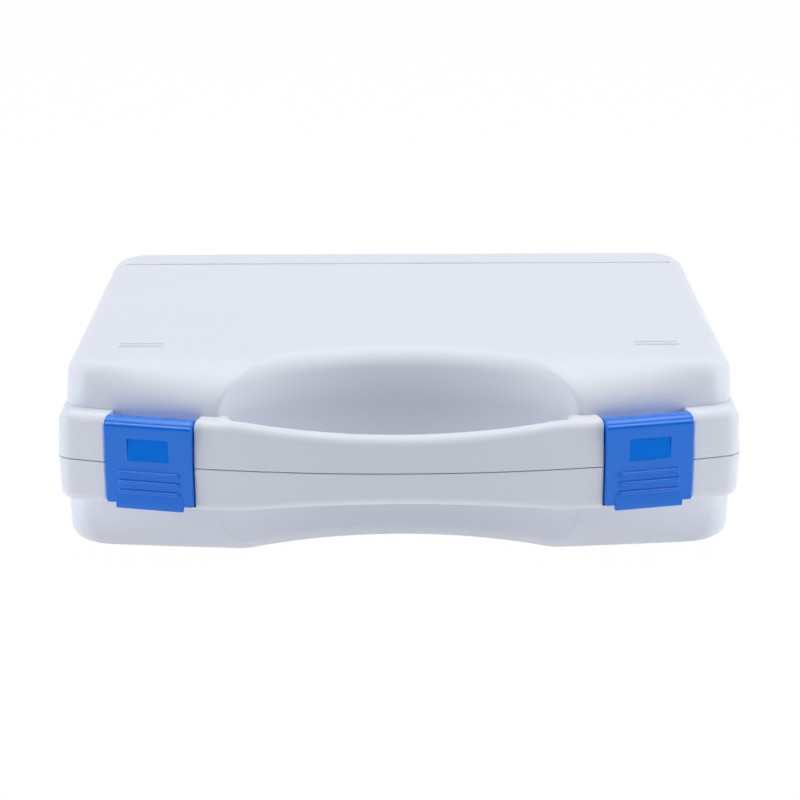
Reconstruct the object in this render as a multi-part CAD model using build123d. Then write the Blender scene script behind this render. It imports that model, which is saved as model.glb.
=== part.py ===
from build123d import *
import math
import os

# A moulded polypropylene transit case that lies flat: a base and a hinged lid, each with its half of a
# bowed front handle, two snap latches hinged on the lid's rim, two rear hinges and foam inserts.
# Millimetres. +X right, -Y front, +Z up. The origin is the middle of the underside.

os.makedirs("parts", exist_ok=True)

# Overall size
case_width = 336.0
case_depth = 298.5
base_height = 51.0
lid_height = 45.3
parting_gap = 0.4
wall = 2.6
running_clearance = 0.05
seat_gap = 0.3

# Rim and its bowed front, which is also the front of the handle
bow_radius = 495.0
rim_rise = 22.5
rim_drop = 22.2
rim_draft_deg = 2.5
rim_edge_radius = 4.7
rim_front_corner = 11.0
rim_rear_corner = 22.0
ledge_depth = 14.0
side_band = 2.2
rear_band = 2.9

# Walls of the two shells, as seen from above
front_corner = 17.0
rear_corner = 20.0
bow_reference_x = 150.0
lid_shoulder_mid = 50.0
lid_shoulder_side = 11.0
lid_edge_radius = 8.0
lid_draft_deg = 2.0
base_shoulder_mid = 25.75
base_shoulder_side = 9.5
base_edge_radius = 8.4
base_draft_deg = 0.5

# Finger scoop in the front of both shells
scoop_depth = 52.1
lid_scoop_lean = 0.35
base_scoop_lean = 0.01
scoop_half_width = 88.0
scoop_edge_radius = 9.0
ridge_radius = 4.0
ridge_radius_top = 14.0

# Handle
handle_thickness = 12.0
handle_rise_mid = 17.5
handle_drop_mid = 16.9
handle_dip_radius = 600.0
handle_dip_blend = 60.0
handle_skin = 3.0
handle_cell_depth = 14.0
handle_cells = 6
handle_rib = 2.0
handle_cell_span = 148.0
handle_root = 6.0
gap_corner_radius = 3.0

# Lip of the base that stands in a rebate of the lid
lip_thickness = 1.3
lip_height = 2.5
lip_clearance = 0.35

# Raised details on the lid's top and the matching hollows under the base
panel_step = 0.8
strip_side_setback = 12.0
strip_depth = 25.0
strip_front_setback = 32.0
rib_length = 22.5
rib_width = 1.8
rib_pitch = 5.2
rib_side_setback = 38.3
rib_setback = 76.0

# Rear feet and hinges
rear_foot_width = 26.0
rear_foot_side_setback = 38.0
rear_foot_reach = 6.5
rear_foot_near = 26.0
rear_foot_far = 41.0
rear_foot_radius = 2.5
hinge_x = 80.0
hinge_axis_offset = 2.0
barrel_radius = 4.0
barrel_clearance = 0.3
hinge_pin_radius = 1.5
lid_knuckle_length = 16.0
base_knuckle_length = 11.0
knuckle_gap = 0.4
knuckle_web = 9.0

# Latches
latch_side_setback = 46.5
latch_width = 44.6
latch_side_gap = 0.4
latch_roll_radius = 6.0
latch_roll_inset = 4.6
latch_roll_height = 18.0
latch_thickness = 3.0
latch_lean = 1.0
latch_drop = 19.8
latch_tab_width = 34.5
latch_tab_drop = 22.4
latch_tab_top = 16.5
latch_tab_proud = 1.2
latch_edge_bevel = 0.8
latch_corner_radius = 2.0
latch_pin_radius = 1.5
latch_pin_bearing = 5.5
pocket_clearance = 0.6
lid_pocket_depth = 3.0
lid_pocket_height = 12.0
base_pocket_depth = 5.0
sill_gap = 0.6
nose_height = 1.1
nose_drop = 14.6
nose_size = 2.4
keeper_length = 34.0
keeper_drop = 10.8
keeper_size = 1.8
grip_length = 28.7
grip_width = 2.2
grip_rise = 0.7
grip_first_drop = 4.0
grip_pitch = 4.9
grip_count = 3
plate_length = 21.0
plate_height = 11.0
plate_centre_rise = 7.8
plate_thickness = 0.8
plate_sink = 0.15
plate_side_gap = 0.1

# Foam inserts
foam_clearance = 0.3
base_pad_thickness = 10.0
tray_wall = 28.0
tray_corner = 12.0
tray_top_gap = 3.0
lid_foam_thickness = 24.0
foam_edge = 1.5

# Places worked out from the sizes above
split = base_height
lid_split = split + parting_gap / 2
base_split = split - parting_gap / 2
rim_rear = case_depth / 2 - rear_foot_reach
bow_centre_y = bow_radius - case_depth / 2
wall_half_width = case_width / 2 - side_band
wall_rear = rim_rear - rear_band
foot_radius = bow_radius - ledge_depth
gap_half_width = scoop_half_width - handle_root
strip_half_width = case_width / 2 - strip_side_setback
rib_centre_x = case_width / 2 - rib_side_setback
rear_foot_x = case_width / 2 - rear_foot_side_setback
latch_x = case_width / 2 - latch_side_setback
hinge_y = rim_rear + hinge_axis_offset
latch_angle = math.degrees(math.asin(latch_x / bow_radius))
over = 1.0
wall_sections = 4
round_sections = 8


def bow_y(radius, x):
    """Depth of a circle about the bow's centre, at a distance x from the middle."""
    return bow_centre_y - math.sqrt(radius**2 - x**2)


def lean(degrees, height):
    return math.tan(math.radians(degrees)) * height


def prism(face, low, high):
    """The plan shape from one height above the floor to another."""
    return extrude(Pos(0, 0, low) * face, high - low)


def block(x_low, x_high, y_low, y_high, z_low, z_high):
    """A box from its six limits."""
    centre = ((x_low + x_high) / 2, (y_low + y_high) / 2, (z_low + z_high) / 2)
    return Pos(*centre) * Box(x_high - x_low, y_high - y_low, z_high - z_low)


def x_cylinder(radius, x_low, x_high, y, z):
    return Pos((x_low + x_high) / 2, y, z) * Rot(0, 90, 0) * Cylinder(radius, x_high - x_low)


def scoop_circle(rise, scoop_lean, flare, inset):
    """Radius and centre of the scoop's arc at a height above or below the split."""
    depth = scoop_depth + scoop_lean * rise
    start = bow_y(foot_radius, scoop_half_width) + case_depth / 2
    sag = depth - start
    radius = (scoop_half_width**2 + sag**2) / (2 * sag)
    deepest = -case_depth / 2 + depth + flare + inset
    return radius + flare + inset, deepest - radius - flare - inset


def plan(side, front_mid, front_side, scoop, ridge, inset):
    """Plan of a shell's wall at one height: bowed front with the scoop, straight sides and rear."""
    half = wall_half_width - side - inset
    rear = wall_rear - side - inset
    mid = bow_y(foot_radius, 0) + front_mid + inset
    edge = bow_y(foot_radius, bow_reference_x) + front_side + inset
    sag = edge - mid
    radius = (bow_reference_x**2 + sag**2) / (2 * sag)
    reach = mid + radius - math.copysign(math.sqrt(radius**2 - half**2), radius)
    front = ThreePointArc((-half, reach), (0, mid), (half, reach))
    sides = Polyline((half, reach), (half, rear), (-half, rear), (-half, reach))
    face = make_face([front, *sides.edges()])
    scoop_radius, scoop_y = scoop
    face -= Pos(0, scoop_y) * Circle(scoop_radius)
    corners = face.vertices().filter_by(lambda v: abs(v.X) > half - over)
    ends = corners.group_by(Axis.Y)
    face = fillet(ends[-1], max(rear_corner - side - inset, over))
    corners = face.vertices().filter_by(lambda v: abs(v.X) > half - over and v.Y < 0)
    face = fillet(corners, front_corner - inset)
    ridges = face.vertices().sort_by(lambda v: abs(v.X))[:2]
    return fillet(ridges, ridge)


def shell_form(height, foot, edge, draft, shoulder, scoop_lean, inset, start):
    """Closed outer or inner form of a shell, open side at the split, grown inward by the inset."""
    top, edge, flare_radius = height - inset, edge - inset, scoop_edge_radius - inset

    def rounding(radius, rise):
        above = max(rise - (top - radius), 0)
        return radius - math.sqrt(max(radius**2 - above**2, 0))

    def section(rise):
        share = rounding(top - foot, max(rise, foot)) / (top - foot)
        ridge = ridge_radius + (ridge_radius_top - ridge_radius) * share
        scoop = scoop_circle(rise, scoop_lean, rounding(flare_radius, rise), inset)
        side = lean(draft, rise) + rounding(edge, rise)
        return Pos(0, 0, rise) * plan(side, shoulder[0] * share, shoulder[1] * share, scoop, ridge, inset)

    wall_top = top - edge
    rises = [foot + (wall_top - foot) * step / wall_sections for step in range(wall_sections)]
    turns = [math.pi / 2 * step / round_sections for step in range(round_sections + 1)]
    rises += [wall_top + edge * math.sin(turn) for turn in turns]
    return loft([section(start), section(foot)], ruled=True) + loft([section(rise) for rise in rises])


def lid_form(inset, start):
    form = shell_form(lid_height - panel_step, rim_rise, lid_edge_radius, lid_draft_deg,
                      (lid_shoulder_mid, lid_shoulder_side), lid_scoop_lean, inset, start)
    return Pos(0, 0, split) * form


def base_form(inset, start):
    form = shell_form(base_height, rim_drop, base_edge_radius, base_draft_deg,
                      (base_shoulder_mid, base_shoulder_side), base_scoop_lean, inset, start)
    return Pos(0, 0, split) * mirror(form, Plane.XY)


def rim_plan(inset):
    """Plan of the rim: a box whose front is the bow, with rounded corners."""
    half = case_width / 2 - inset
    front = -case_depth
    face = Pos(0, (front + rim_rear - inset) / 2) * Rectangle(2 * half, rim_rear - inset - front)
    face &= Pos(0, bow_centre_y) * Circle(bow_radius - inset)
    ends = face.vertices().group_by(Axis.Y)
    face = fillet(ends[-1], rim_rear_corner - inset)
    corners = face.vertices().filter_by(lambda v: abs(v.X) > half - over and v.Y < 0)
    return fillet(corners, rim_front_corner - inset)


def gap_form(height, scoop_lean):
    """The finger gap behind the handle; its far side lies inside the scoop's wall."""
    sections = []
    for rise in (-over, height + over):
        radius, centre_y = scoop_circle(rise, scoop_lean, 0, wall / 2)
        sections.append(Pos(0, centre_y, rise) * Circle(radius))
    behind = Pos(0, bow_centre_y) * Circle(bow_radius - handle_thickness)
    behind &= Pos(0, -case_depth / 2) * Rectangle(2 * gap_half_width, case_depth)
    gap = loft(sections, ruled=True) & prism(behind, -over, height + over)
    corners = gap.edges().filter_by(lambda e: abs(abs(e.center().X) - gap_half_width) < over)
    return fillet(corners.filter_by(lambda e: e.bounding_box().size.Z > height), gap_corner_radius)


def rim_form(height, handle_mid, scoop_lean, start):
    """Rim of one shell with its half of the handle, standing on the split."""
    low, high = lean(rim_draft_deg, start), lean(rim_draft_deg, height)
    rim = loft([Pos(0, 0, start) * rim_plan(low), Pos(0, 0, height) * rim_plan(high)], ruled=True)
    dip_end = scoop_depth + 2 * ledge_depth
    dip = Pos(0, -case_depth / 2, handle_mid + handle_dip_radius) * Rot(90, 0, 0)
    rim -= dip * Cylinder(handle_dip_radius, 2 * dip_end)
    between_sides = case_width / 2 - rim_rear_corner
    creases = rim.edges().filter_by(Axis.Y).filter_by(lambda e: abs(e.center().X) < between_sides)
    rim = fillet(creases.filter_by(lambda e: e.center().Z > handle_mid), handle_dip_blend)
    rim -= gap_form(height, scoop_lean)

    def on_outline(edge):
        box, centre = edge.bounding_box(), edge.center()
        lengthwise = box.size.Y > scoop_depth
        behind_handle = -case_depth / 2 + dip_end - over < centre.Y < 0
        on_dip = abs(centre.X) < between_sides and (lengthwise or behind_handle)
        return box.min.Z > handle_mid - over and not on_dip

    return fillet(rim.edges().filter_by(on_outline), rim_edge_radius)


def handle_cell_form(start):
    """Ribbed hollow of one handle half, open at the split."""
    ring = Pos(0, bow_centre_y) * Circle(bow_radius - handle_skin)
    ring -= Pos(0, bow_centre_y) * Circle(bow_radius - handle_thickness + handle_skin)
    pitch = handle_cell_span / handle_cells
    cells = []
    for index in range(handle_cells):
        x = (index - (handle_cells - 1) / 2) * pitch
        strip = Pos(x, -case_depth / 2) * Rectangle(pitch - handle_rib, case_depth / 2)
        cells.append(prism(ring & strip, start, handle_cell_depth))
    return cells


def above_split(part):
    return Pos(0, 0, split) * part


def below_split(part):
    return Pos(0, 0, split) * mirror(part, Plane.XY)


def lip_plan(inset):
    return plan(0, 0, 0, scoop_circle(0, 0, 0, inset), ridge_radius, inset)


def knuckle(x_low, x_high, side):
    """One hinge barrel with its web; side is 1 for the lid above the split and -1 for the base."""
    barrel = x_cylinder(barrel_radius, x_low, x_high, hinge_y, split)
    rim_side = rim_rear - wall / 2
    near = split + side * parting_gap / 2
    web = Polyline((rim_side, near), (hinge_y + barrel_radius, near),
                   (rim_side, split + side * knuckle_web), close=True)
    face = Plane.YZ * make_face(web)
    return barrel + extrude(Pos(x_low, 0, 0) * face, x_high - x_low)


def knuckle_spans(centre):
    """Ends of the lid's middle barrel and of the base's two outer barrels, for one hinge."""
    inner = lid_knuckle_length / 2
    outer = inner + knuckle_gap
    far = outer + base_knuckle_length
    lid_span = (centre - inner, centre + inner)
    base_spans = [(centre - far, centre - outer), (centre + outer, centre + far)]
    return lid_span, base_spans


def barrel_room(span):
    """Round hollow that lets the other shell's barrel turn."""
    return x_cylinder(barrel_radius + barrel_clearance, span[0] - knuckle_gap, span[1] + knuckle_gap,
                      hinge_y, split)


def hinge_bore(centre):
    reach = lid_knuckle_length / 2 + knuckle_gap + base_knuckle_length + over
    return x_cylinder(hinge_pin_radius + running_clearance, centre - reach, centre + reach, hinge_y, split)


def hinge_pin(centre):
    reach = lid_knuckle_length / 2 + knuckle_gap + base_knuckle_length
    return x_cylinder(hinge_pin_radius, centre - reach, centre + reach, hinge_y, split)


def rear_foot(centre, side):
    """Block on the rear wall that the case can stand on."""
    ends = sorted((split + side * rear_foot_near, split + side * rear_foot_far))
    half = rear_foot_width / 2
    foot = block(centre - half, centre + half, wall_rear - 2 * wall, case_depth / 2, *ends)
    rear = foot.faces().sort_by(Axis.Y)[-1]
    return fillet(rear.edges(), rear_foot_radius)


def at_latch(side, part):
    """Turns and moves a part from the latch's own frame to its place on the bow; side is -1 or 1."""
    place = Pos(side * latch_x, bow_y(bow_radius, latch_x), split) * Rot(0, 0, side * latch_angle)
    return place * part


def latch_front(rise):
    """Depth of the latch's front face at a height from the split, in the latch's own frame."""
    fall = (latch_roll_height - rise) / (latch_roll_height + latch_drop)
    return -(latch_roll_radius - latch_roll_inset - latch_lean * fall)


def side_profile(points, width):
    """A profile drawn in depth and height, given a width about the middle."""
    face = Plane.YZ * make_face(Polyline(*points, close=True))
    return extrude(Pos(-width / 2, 0, 0) * face, width)


def face_strip(low, high, near, far, width):
    """A strip that follows the latch's front face between two heights and two depths under it."""
    points = [(latch_front(low) + near, low), (latch_front(high) + near, high),
              (latch_front(high) + far, high), (latch_front(low) + far, low)]
    return side_profile(points, width)


def grip_rib(rise):
    """One raised grip rib with round ends and a softened top."""
    face = Plane(origin=(0, latch_front(rise) + over, rise), x_dir=(1, 0, 0), z_dir=(0, -1, 0))
    rib = extrude(face * SlotOverall(grip_length, grip_width), over + grip_rise)
    top = rib.faces().sort_by(Axis.Y)[0]
    return chamfer(top.edges(), grip_rise - seat_gap)


def latch_tab():
    """The finger tab under the latch, which stands out from its face."""
    front = latch_front(-latch_drop) - latch_tab_proud
    back = front + latch_thickness - seat_gap
    points = [(latch_front(-latch_tab_top), -latch_tab_top), (front, -latch_drop),
              (front, -latch_tab_drop), (back, -latch_tab_drop), (back, -latch_tab_top)]
    tab = side_profile(points, latch_tab_width)
    return chamfer(tab.edges().group_by(Axis.Z)[0].filter_by(Axis.X), latch_edge_bevel)


def latch_front_trim():
    """Front view of the flap with its rounded lower corners, deep enough to trim the whole flap."""
    top = latch_roll_height + latch_roll_radius
    face = Plane.XZ * Pos(0, (top - latch_drop) / 2) * Rectangle(latch_width, top + latch_drop)
    face = fillet(face.vertices().group_by(Axis.Z)[0], latch_corner_radius)
    return extrude(face, latch_width, both=True)


def latch():
    """Snap latch: a roll about its pin, a leaning flap, grip ribs, a tab and a catch nose."""
    half = latch_width / 2
    flap = face_strip(-latch_drop, latch_roll_height, 0, latch_thickness, latch_width)
    flap += x_cylinder(latch_roll_radius, -half, half, latch_roll_inset, latch_roll_height)
    outer = flap.edges().filter_by(lambda e: abs(abs(e.center().X) - half) < running_clearance)
    outer = outer.filter_by(lambda e: e.center().Y < 0 or e.bounding_box().max.Z > latch_roll_height + over)
    flap = chamfer(outer, latch_edge_bevel) & latch_front_trim()
    nose_y = latch_front(-nose_drop) + latch_thickness
    flap += x_cylinder(nose_size / 2, -keeper_length / 2, keeper_length / 2, nose_y, -nose_drop)
    flap += latch_tab()
    for index in range(grip_count):
        flap += grip_rib(-grip_first_drop - index * grip_pitch)
    low, high = plate_centre_rise - plate_height / 2, plate_centre_rise + plate_height / 2
    flap -= face_strip(low, high, -over, plate_thickness, plate_length)
    return flap - x_cylinder(latch_pin_radius + running_clearance, -latch_width, latch_width,
                             latch_roll_inset, latch_roll_height)


def latch_plate():
    """Darker plate set in the latch's face."""
    low = plate_centre_rise - plate_height / 2 + plate_side_gap
    high = plate_centre_rise + plate_height / 2 - plate_side_gap
    return face_strip(low, high, plate_sink, plate_thickness, plate_length - 2 * plate_side_gap)


def latch_pin():
    reach = latch_width / 2 + latch_side_gap + latch_pin_bearing - seat_gap
    return x_cylinder(latch_pin_radius, -reach, reach, latch_roll_inset, latch_roll_height)


def lid_latch_pocket():
    """Room in the lid's rim for the latch, its roll and its pin."""
    half = latch_width / 2 + latch_side_gap
    room = block(-half, half, -latch_roll_radius, lid_pocket_depth, -over, lid_pocket_height)
    room += block(-half, half, -latch_roll_radius, latch_roll_inset, lid_pocket_height - over, rim_rise + over)
    room += x_cylinder(latch_roll_radius + pocket_clearance, -half, half, latch_roll_inset, latch_roll_height)
    return room + x_cylinder(latch_pin_radius + running_clearance, -half - latch_pin_bearing,
                             half + latch_pin_bearing, latch_roll_inset, latch_roll_height)


def base_latch_pocket():
    """Room in the base's rim for the latch's lower half, with the keeper bead left standing."""
    half = latch_width / 2 + latch_side_gap
    room = block(-half, half, -latch_roll_radius, base_pocket_depth, -latch_drop - sill_gap, over)
    bead = x_cylinder(keeper_size / 2, -keeper_length / 2, keeper_length / 2, base_pocket_depth, -keeper_drop)
    return room - bead


def top_strip():
    """Raised strip along the rear of the lid's top."""
    top = split + lid_height
    rear = wall_rear - lean(lid_draft_deg, lid_height) - lid_edge_radius
    front = wall_rear - strip_front_setback
    strip = block(-strip_half_width, strip_half_width, front, rear, top - panel_step - over, top)
    corners = strip.edges().filter_by(Axis.Z).group_by(Axis.Y)[-1]
    strip = fillet(corners, rear_corner - lid_edge_radius)
    return fillet(strip.faces().sort_by(Axis.Z)[-1].edges(), panel_step / 2)


def stacking_places():
    """Middles of the two stacking marks, left and right."""
    y = -case_depth / 2 + rib_setback
    return [(-rib_centre_x, y), (rib_centre_x, y)]


def stacking_ribs():
    """Pairs of low ribs on the lid that a second case's base sits over."""
    top = split + lid_height
    ribs = []
    for x, y in stacking_places():
        for side in (-1, 1):
            outline = Pos(x, y + side * rib_pitch / 2) * SlotOverall(rib_length, rib_width)
            rib = prism(outline, top - panel_step - over, top)
            ribs.append(chamfer(rib.faces().sort_by(Axis.Z)[-1].edges(), panel_step / 2))
    return ribs


def stacking_hollows():
    hollows = []
    for x, y in stacking_places():
        width = rib_pitch + rib_width + 2 * panel_step
        outline = Pos(x, y) * SlotOverall(rib_length + 2 * panel_step, width)
        hollows.append(prism(outline, -over, panel_step + seat_gap))
    return hollows


def lid_shell():
    """Lid: hollow form, rim with the handle's upper half, pockets, rebate, barrels, feet and top marks."""
    start = parting_gap / 2
    shell = lid_form(0, start) + above_split(rim_form(rim_rise, handle_rise_mid, lid_scoop_lean, start))
    for side in (-1, 1):
        shell += rear_foot(side * rear_foot_x, 1)
    shell += [top_strip(), *stacking_ribs()]
    shell -= lid_form(wall, -over)
    shell -= [above_split(cell) for cell in handle_cell_form(-over)]
    rebate = lip_plan(wall - lip_thickness - lip_clearance)
    shell -= prism(rebate, lid_split - over, split + lip_height + lip_clearance)
    for side in (-1, 1):
        shell -= at_latch(side, lid_latch_pocket())
        lid_span, base_spans = knuckle_spans(side * hinge_x)
        shell -= [barrel_room(span) for span in base_spans]
        shell += knuckle(*lid_span, 1)
        shell -= hinge_bore(side * hinge_x)
    return shell


def base_shell():
    """Base: hollow form, rim with the handle's lower half, keepers, lip, barrels, feet and hollows."""
    start = parting_gap / 2
    shell = base_form(0, start) + below_split(rim_form(rim_drop, handle_drop_mid, base_scoop_lean, start))
    for side in (-1, 1):
        shell += rear_foot(side * rear_foot_x, -1)
    shell += prism(lip_plan(wall - lip_thickness), base_split - over, split + lip_height)
    shell -= base_form(wall, -lip_height - over)
    shell -= stacking_hollows()
    shell -= [below_split(cell) for cell in handle_cell_form(-over)]
    for side in (-1, 1):
        shell -= at_latch(side, base_latch_pocket())
        lid_span, base_spans = knuckle_spans(side * hinge_x)
        shell -= barrel_room(lid_span)
        shell += [knuckle(*span, -1) for span in base_spans]
        shell -= hinge_bore(side * hinge_x)
    return shell


def floor_plan(height, edge, draft, shoulder, scoop_lean):
    """Plan of the flat inside of a shell, which a straight-sided foam insert fits at any height."""
    inset = wall + foam_clearance
    side = lean(draft, height) + edge - wall
    scoop = scoop_circle(height, scoop_lean, scoop_edge_radius - wall, inset)
    return plan(side, *shoulder, scoop, ridge_radius_top, inset)


def base_floor_plan():
    return floor_plan(base_height, base_edge_radius, base_draft_deg,
                      (base_shoulder_mid, base_shoulder_side), base_scoop_lean)


def lid_floor_plan():
    return floor_plan(lid_height, lid_edge_radius, lid_draft_deg,
                      (lid_shoulder_mid, lid_shoulder_side), lid_scoop_lean)


def foam(face, low, high):
    block_of_foam = prism(face, low, high)
    edges = block_of_foam.faces().sort_by(Axis.Z)[-1].edges()
    return fillet(edges, foam_edge)


def foam_tray():
    """Upper base foam with a large rectangular pocket for what the case carries."""
    low = wall + base_pad_thickness + 2 * foam_clearance
    tray = foam(base_floor_plan(), low, split - tray_top_gap)
    limits = tray.bounding_box()
    front = -case_depth / 2 + scoop_depth + scoop_edge_radius + tray_wall
    size_x = limits.size.X - 2 * tray_wall
    size_y = limits.max.Y - tray_wall - front
    pocket = Pos(0, front + size_y / 2) * RectangleRounded(size_x, size_y, tray_corner)
    return tray - prism(pocket, low - over, split)


def base_pad():
    low = wall + foam_clearance
    return foam(base_floor_plan(), low, low + base_pad_thickness)


def lid_pad():
    """Lid foam; its convoluted face looks down, so its soft edge is the lower one."""
    high = split + lid_height - panel_step - wall - foam_clearance
    pad = prism(lid_floor_plan(), high - lid_foam_thickness, high)
    return fillet(pad.faces().sort_by(Axis.Z)[0].edges(), foam_edge)


def write(node, part):
    export_step(part, f"parts/{node}.step")


write("lid_shell", lid_shell())
write("base_shell", base_shell())
for name, side in (("left", -1), ("right", 1)):
    write(f"latch_{name}", at_latch(side, latch()))
    write(f"latch_plate_{name}", at_latch(side, latch_plate()))
    write(f"latch_pin_{name}", at_latch(side, latch_pin()))
    write(f"hinge_pin_{name}", hinge_pin(side * hinge_x))
write("foam_base_pad", base_pad())
write("foam_base_tray", foam_tray())
write("foam_lid_pad", lid_pad())
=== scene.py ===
"""Looks of a flat moulded transit case: two pale shells, two blue snap latches, pins and foam.

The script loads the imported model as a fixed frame, rebuilds the moulded pieces as finer meshes in the
same places, gives every surface its finish and sets up the floor, the light and the camera.
Outlines are worked out in millimetres, and each mesh is brought to metres once, when it is finished.
"""

import logging
import math
from dataclasses import dataclass
from enum import Enum
from typing import Sequence

import bmesh
import bpy
from mathutils import Matrix, Vector


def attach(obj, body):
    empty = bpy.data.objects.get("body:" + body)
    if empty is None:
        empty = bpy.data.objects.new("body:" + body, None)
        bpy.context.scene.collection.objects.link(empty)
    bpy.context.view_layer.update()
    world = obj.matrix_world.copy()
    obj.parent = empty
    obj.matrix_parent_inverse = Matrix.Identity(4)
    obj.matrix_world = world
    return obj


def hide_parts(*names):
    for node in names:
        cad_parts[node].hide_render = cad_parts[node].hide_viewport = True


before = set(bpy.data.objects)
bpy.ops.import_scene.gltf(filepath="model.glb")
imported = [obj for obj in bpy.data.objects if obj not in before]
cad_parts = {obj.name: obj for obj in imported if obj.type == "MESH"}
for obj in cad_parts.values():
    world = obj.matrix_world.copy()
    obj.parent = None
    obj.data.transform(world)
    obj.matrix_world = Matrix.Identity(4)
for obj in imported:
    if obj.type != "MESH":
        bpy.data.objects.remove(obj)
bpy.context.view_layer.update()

LOG = logging.getLogger("transit_case")

MM = 0.001
CASE_WIDTH = 336.0
CASE_DEPTH = 298.5
SPLIT = 51.0
PARTING_GAP = 0.4
WALL = 2.6
BOW_RADIUS = 495.0
BOW_CENTRE_Y = BOW_RADIUS - CASE_DEPTH / 2
LEDGE_DEPTH = 14.0
FOOT_RADIUS = BOW_RADIUS - LEDGE_DEPTH
RIM_REAR = 142.75
WALL_REAR = RIM_REAR - 2.9
WALL_HALF_WIDTH = CASE_WIDTH / 2 - 2.2
SCOOP_DEPTH = 52.1
SCOOP_HALF_WIDTH = 88.0
HANDLE_THICKNESS = 12.0
HINGE_Y = RIM_REAR + 2.0

# A small reach, mostly how far a solid runs into the one it joins or past the one it cuts.
OVER = 1.0
# Points nearer than this are one point, and edges shorter than a sliver are left out after a cut.
SAME_POINT = 0.0001
SLIVER = 0.01
QUARTER = math.pi / 2

Mesh = bmesh.types.BMesh
Ring = list[Vector]


class Join(Enum):
    """How one solid is put together with another."""

    ADD = "UNION"
    CUT = "DIFFERENCE"
    KEEP = "INTERSECT"


Steps = list[tuple[Join, Mesh]]


class Hand(Enum):
    """Left and right, as seen from the front, with the sign of X on that side."""

    LEFT = -1
    RIGHT = 1

    @property
    def word(self) -> str:
        """The word used in the names of nodes and bodies."""
        return self.name.lower()


def linear(hex_colour: str) -> tuple[float, float, float, float]:
    """Turn an sRGB hex colour into the linear values that shaders take.

    Args:
        hex_colour: The colour as #RRGGBB.

    Returns:
        Linear red, green, blue and an alpha of 1.
    """
    channels = [int(hex_colour[i:i + 2], 16) / 255 for i in (1, 3, 5)]
    values = [c / 12.92 if c <= 0.04045 else ((c + 0.055) / 1.055) ** 2.4 for c in channels]
    return (*values, 1.0)


def add_node(tree: bpy.types.NodeTree, kind: str, inputs: dict | None = None,
             **settings: object) -> bpy.types.Node:
    """Add one node to a tree.

    Args:
        tree: The node tree of a material or a world.
        kind: The node's type, such as ShaderNodeBump.
        inputs: Socket names or numbers, each with a value or with the output socket to link from.
        settings: Properties of the node itself.

    Returns:
        The new node.
    """
    node = tree.nodes.new(kind)
    for name, value in settings.items():
        setattr(node, name, value)
    for name, value in (inputs or {}).items():
        if isinstance(value, bpy.types.NodeSocket):
            tree.links.new(value, node.inputs[name])
        else:
            node.inputs[name].default_value = value
    return node


def empty_material(name: str) -> tuple[bpy.types.Material, bpy.types.NodeTree]:
    """Make a material with an empty node tree.

    Args:
        name: The material's name.

    Returns:
        The material and its tree.
    """
    material = bpy.data.materials.new(name)
    material.use_nodes = True
    material.node_tree.nodes.clear()
    return material, material.node_tree


@dataclass(frozen=True)
class MouldedPlastic:
    """Injection-moulded plastic from a spark-eroded mould.

    The mould leaves a grain too fine to see one by one; it softens the highlights into a broad sheen.
    The grain is drawn at grain_mm, a few times coarser than the real 0.1 mm, so that it reads at all.
    """

    name: str
    colour: str
    drift_colour: str
    roughness: float
    polished: float
    shine: float
    edge_radius_mm: float = 0.7
    grain_mm: float = 0.45
    grain_height_mm: float = 0.008
    drift_mm: float = 90.0
    rub_mm: float = 14.0
    ior: float = 1.49

    def material(self) -> bpy.types.Material:
        """Build the material: slow drift in colour, rubbed patches, grain and softened edges.

        Returns:
            The material.
        """
        made, tree = empty_material(self.name)
        where = add_node(tree, "ShaderNodeTexCoord").outputs["Object"]
        drift = add_node(tree, "ShaderNodeTexNoise",
                         {"Vector": where, "Scale": 1 / (self.drift_mm * MM), "Detail": 3.0,
                          "Roughness": 0.45})
        colour = add_node(tree, "ShaderNodeMix",
                          {"Factor": drift.outputs["Fac"], "A": linear(self.colour),
                           "B": linear(self.drift_colour)}, data_type="RGBA")
        rubbed = add_node(tree, "ShaderNodeTexNoise",
                          {"Vector": where, "Scale": 1 / (self.rub_mm * MM), "Detail": 5.0,
                           "Roughness": 0.62})
        rough = add_node(tree, "ShaderNodeMapRange",
                         {"Value": rubbed.outputs["Fac"], "From Min": 0.3, "From Max": 0.7,
                          "To Min": self.polished, "To Max": self.roughness})
        softened = add_node(tree, "ShaderNodeBevel", {"Radius": self.edge_radius_mm * MM}, samples=6)
        grain = add_node(tree, "ShaderNodeTexNoise",
                         {"Vector": where, "Scale": 1 / (self.grain_mm * MM), "Detail": 2.0,
                          "Roughness": 0.5})
        bumped = add_node(tree, "ShaderNodeBump",
                          {"Height": grain.outputs["Fac"], "Distance": self.grain_height_mm * MM,
                           "Strength": 0.6, "Normal": softened.outputs["Normal"]})
        shader = add_node(tree, "ShaderNodeBsdfPrincipled",
                          {"Base Color": colour.outputs["Result"], "Roughness": rough.outputs["Result"],
                           "IOR": self.ior, "Specular IOR Level": self.shine,
                           "Normal": bumped.outputs["Normal"]})
        add_node(tree, "ShaderNodeOutputMaterial", {"Surface": shader.outputs["BSDF"]})
        return made


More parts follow.
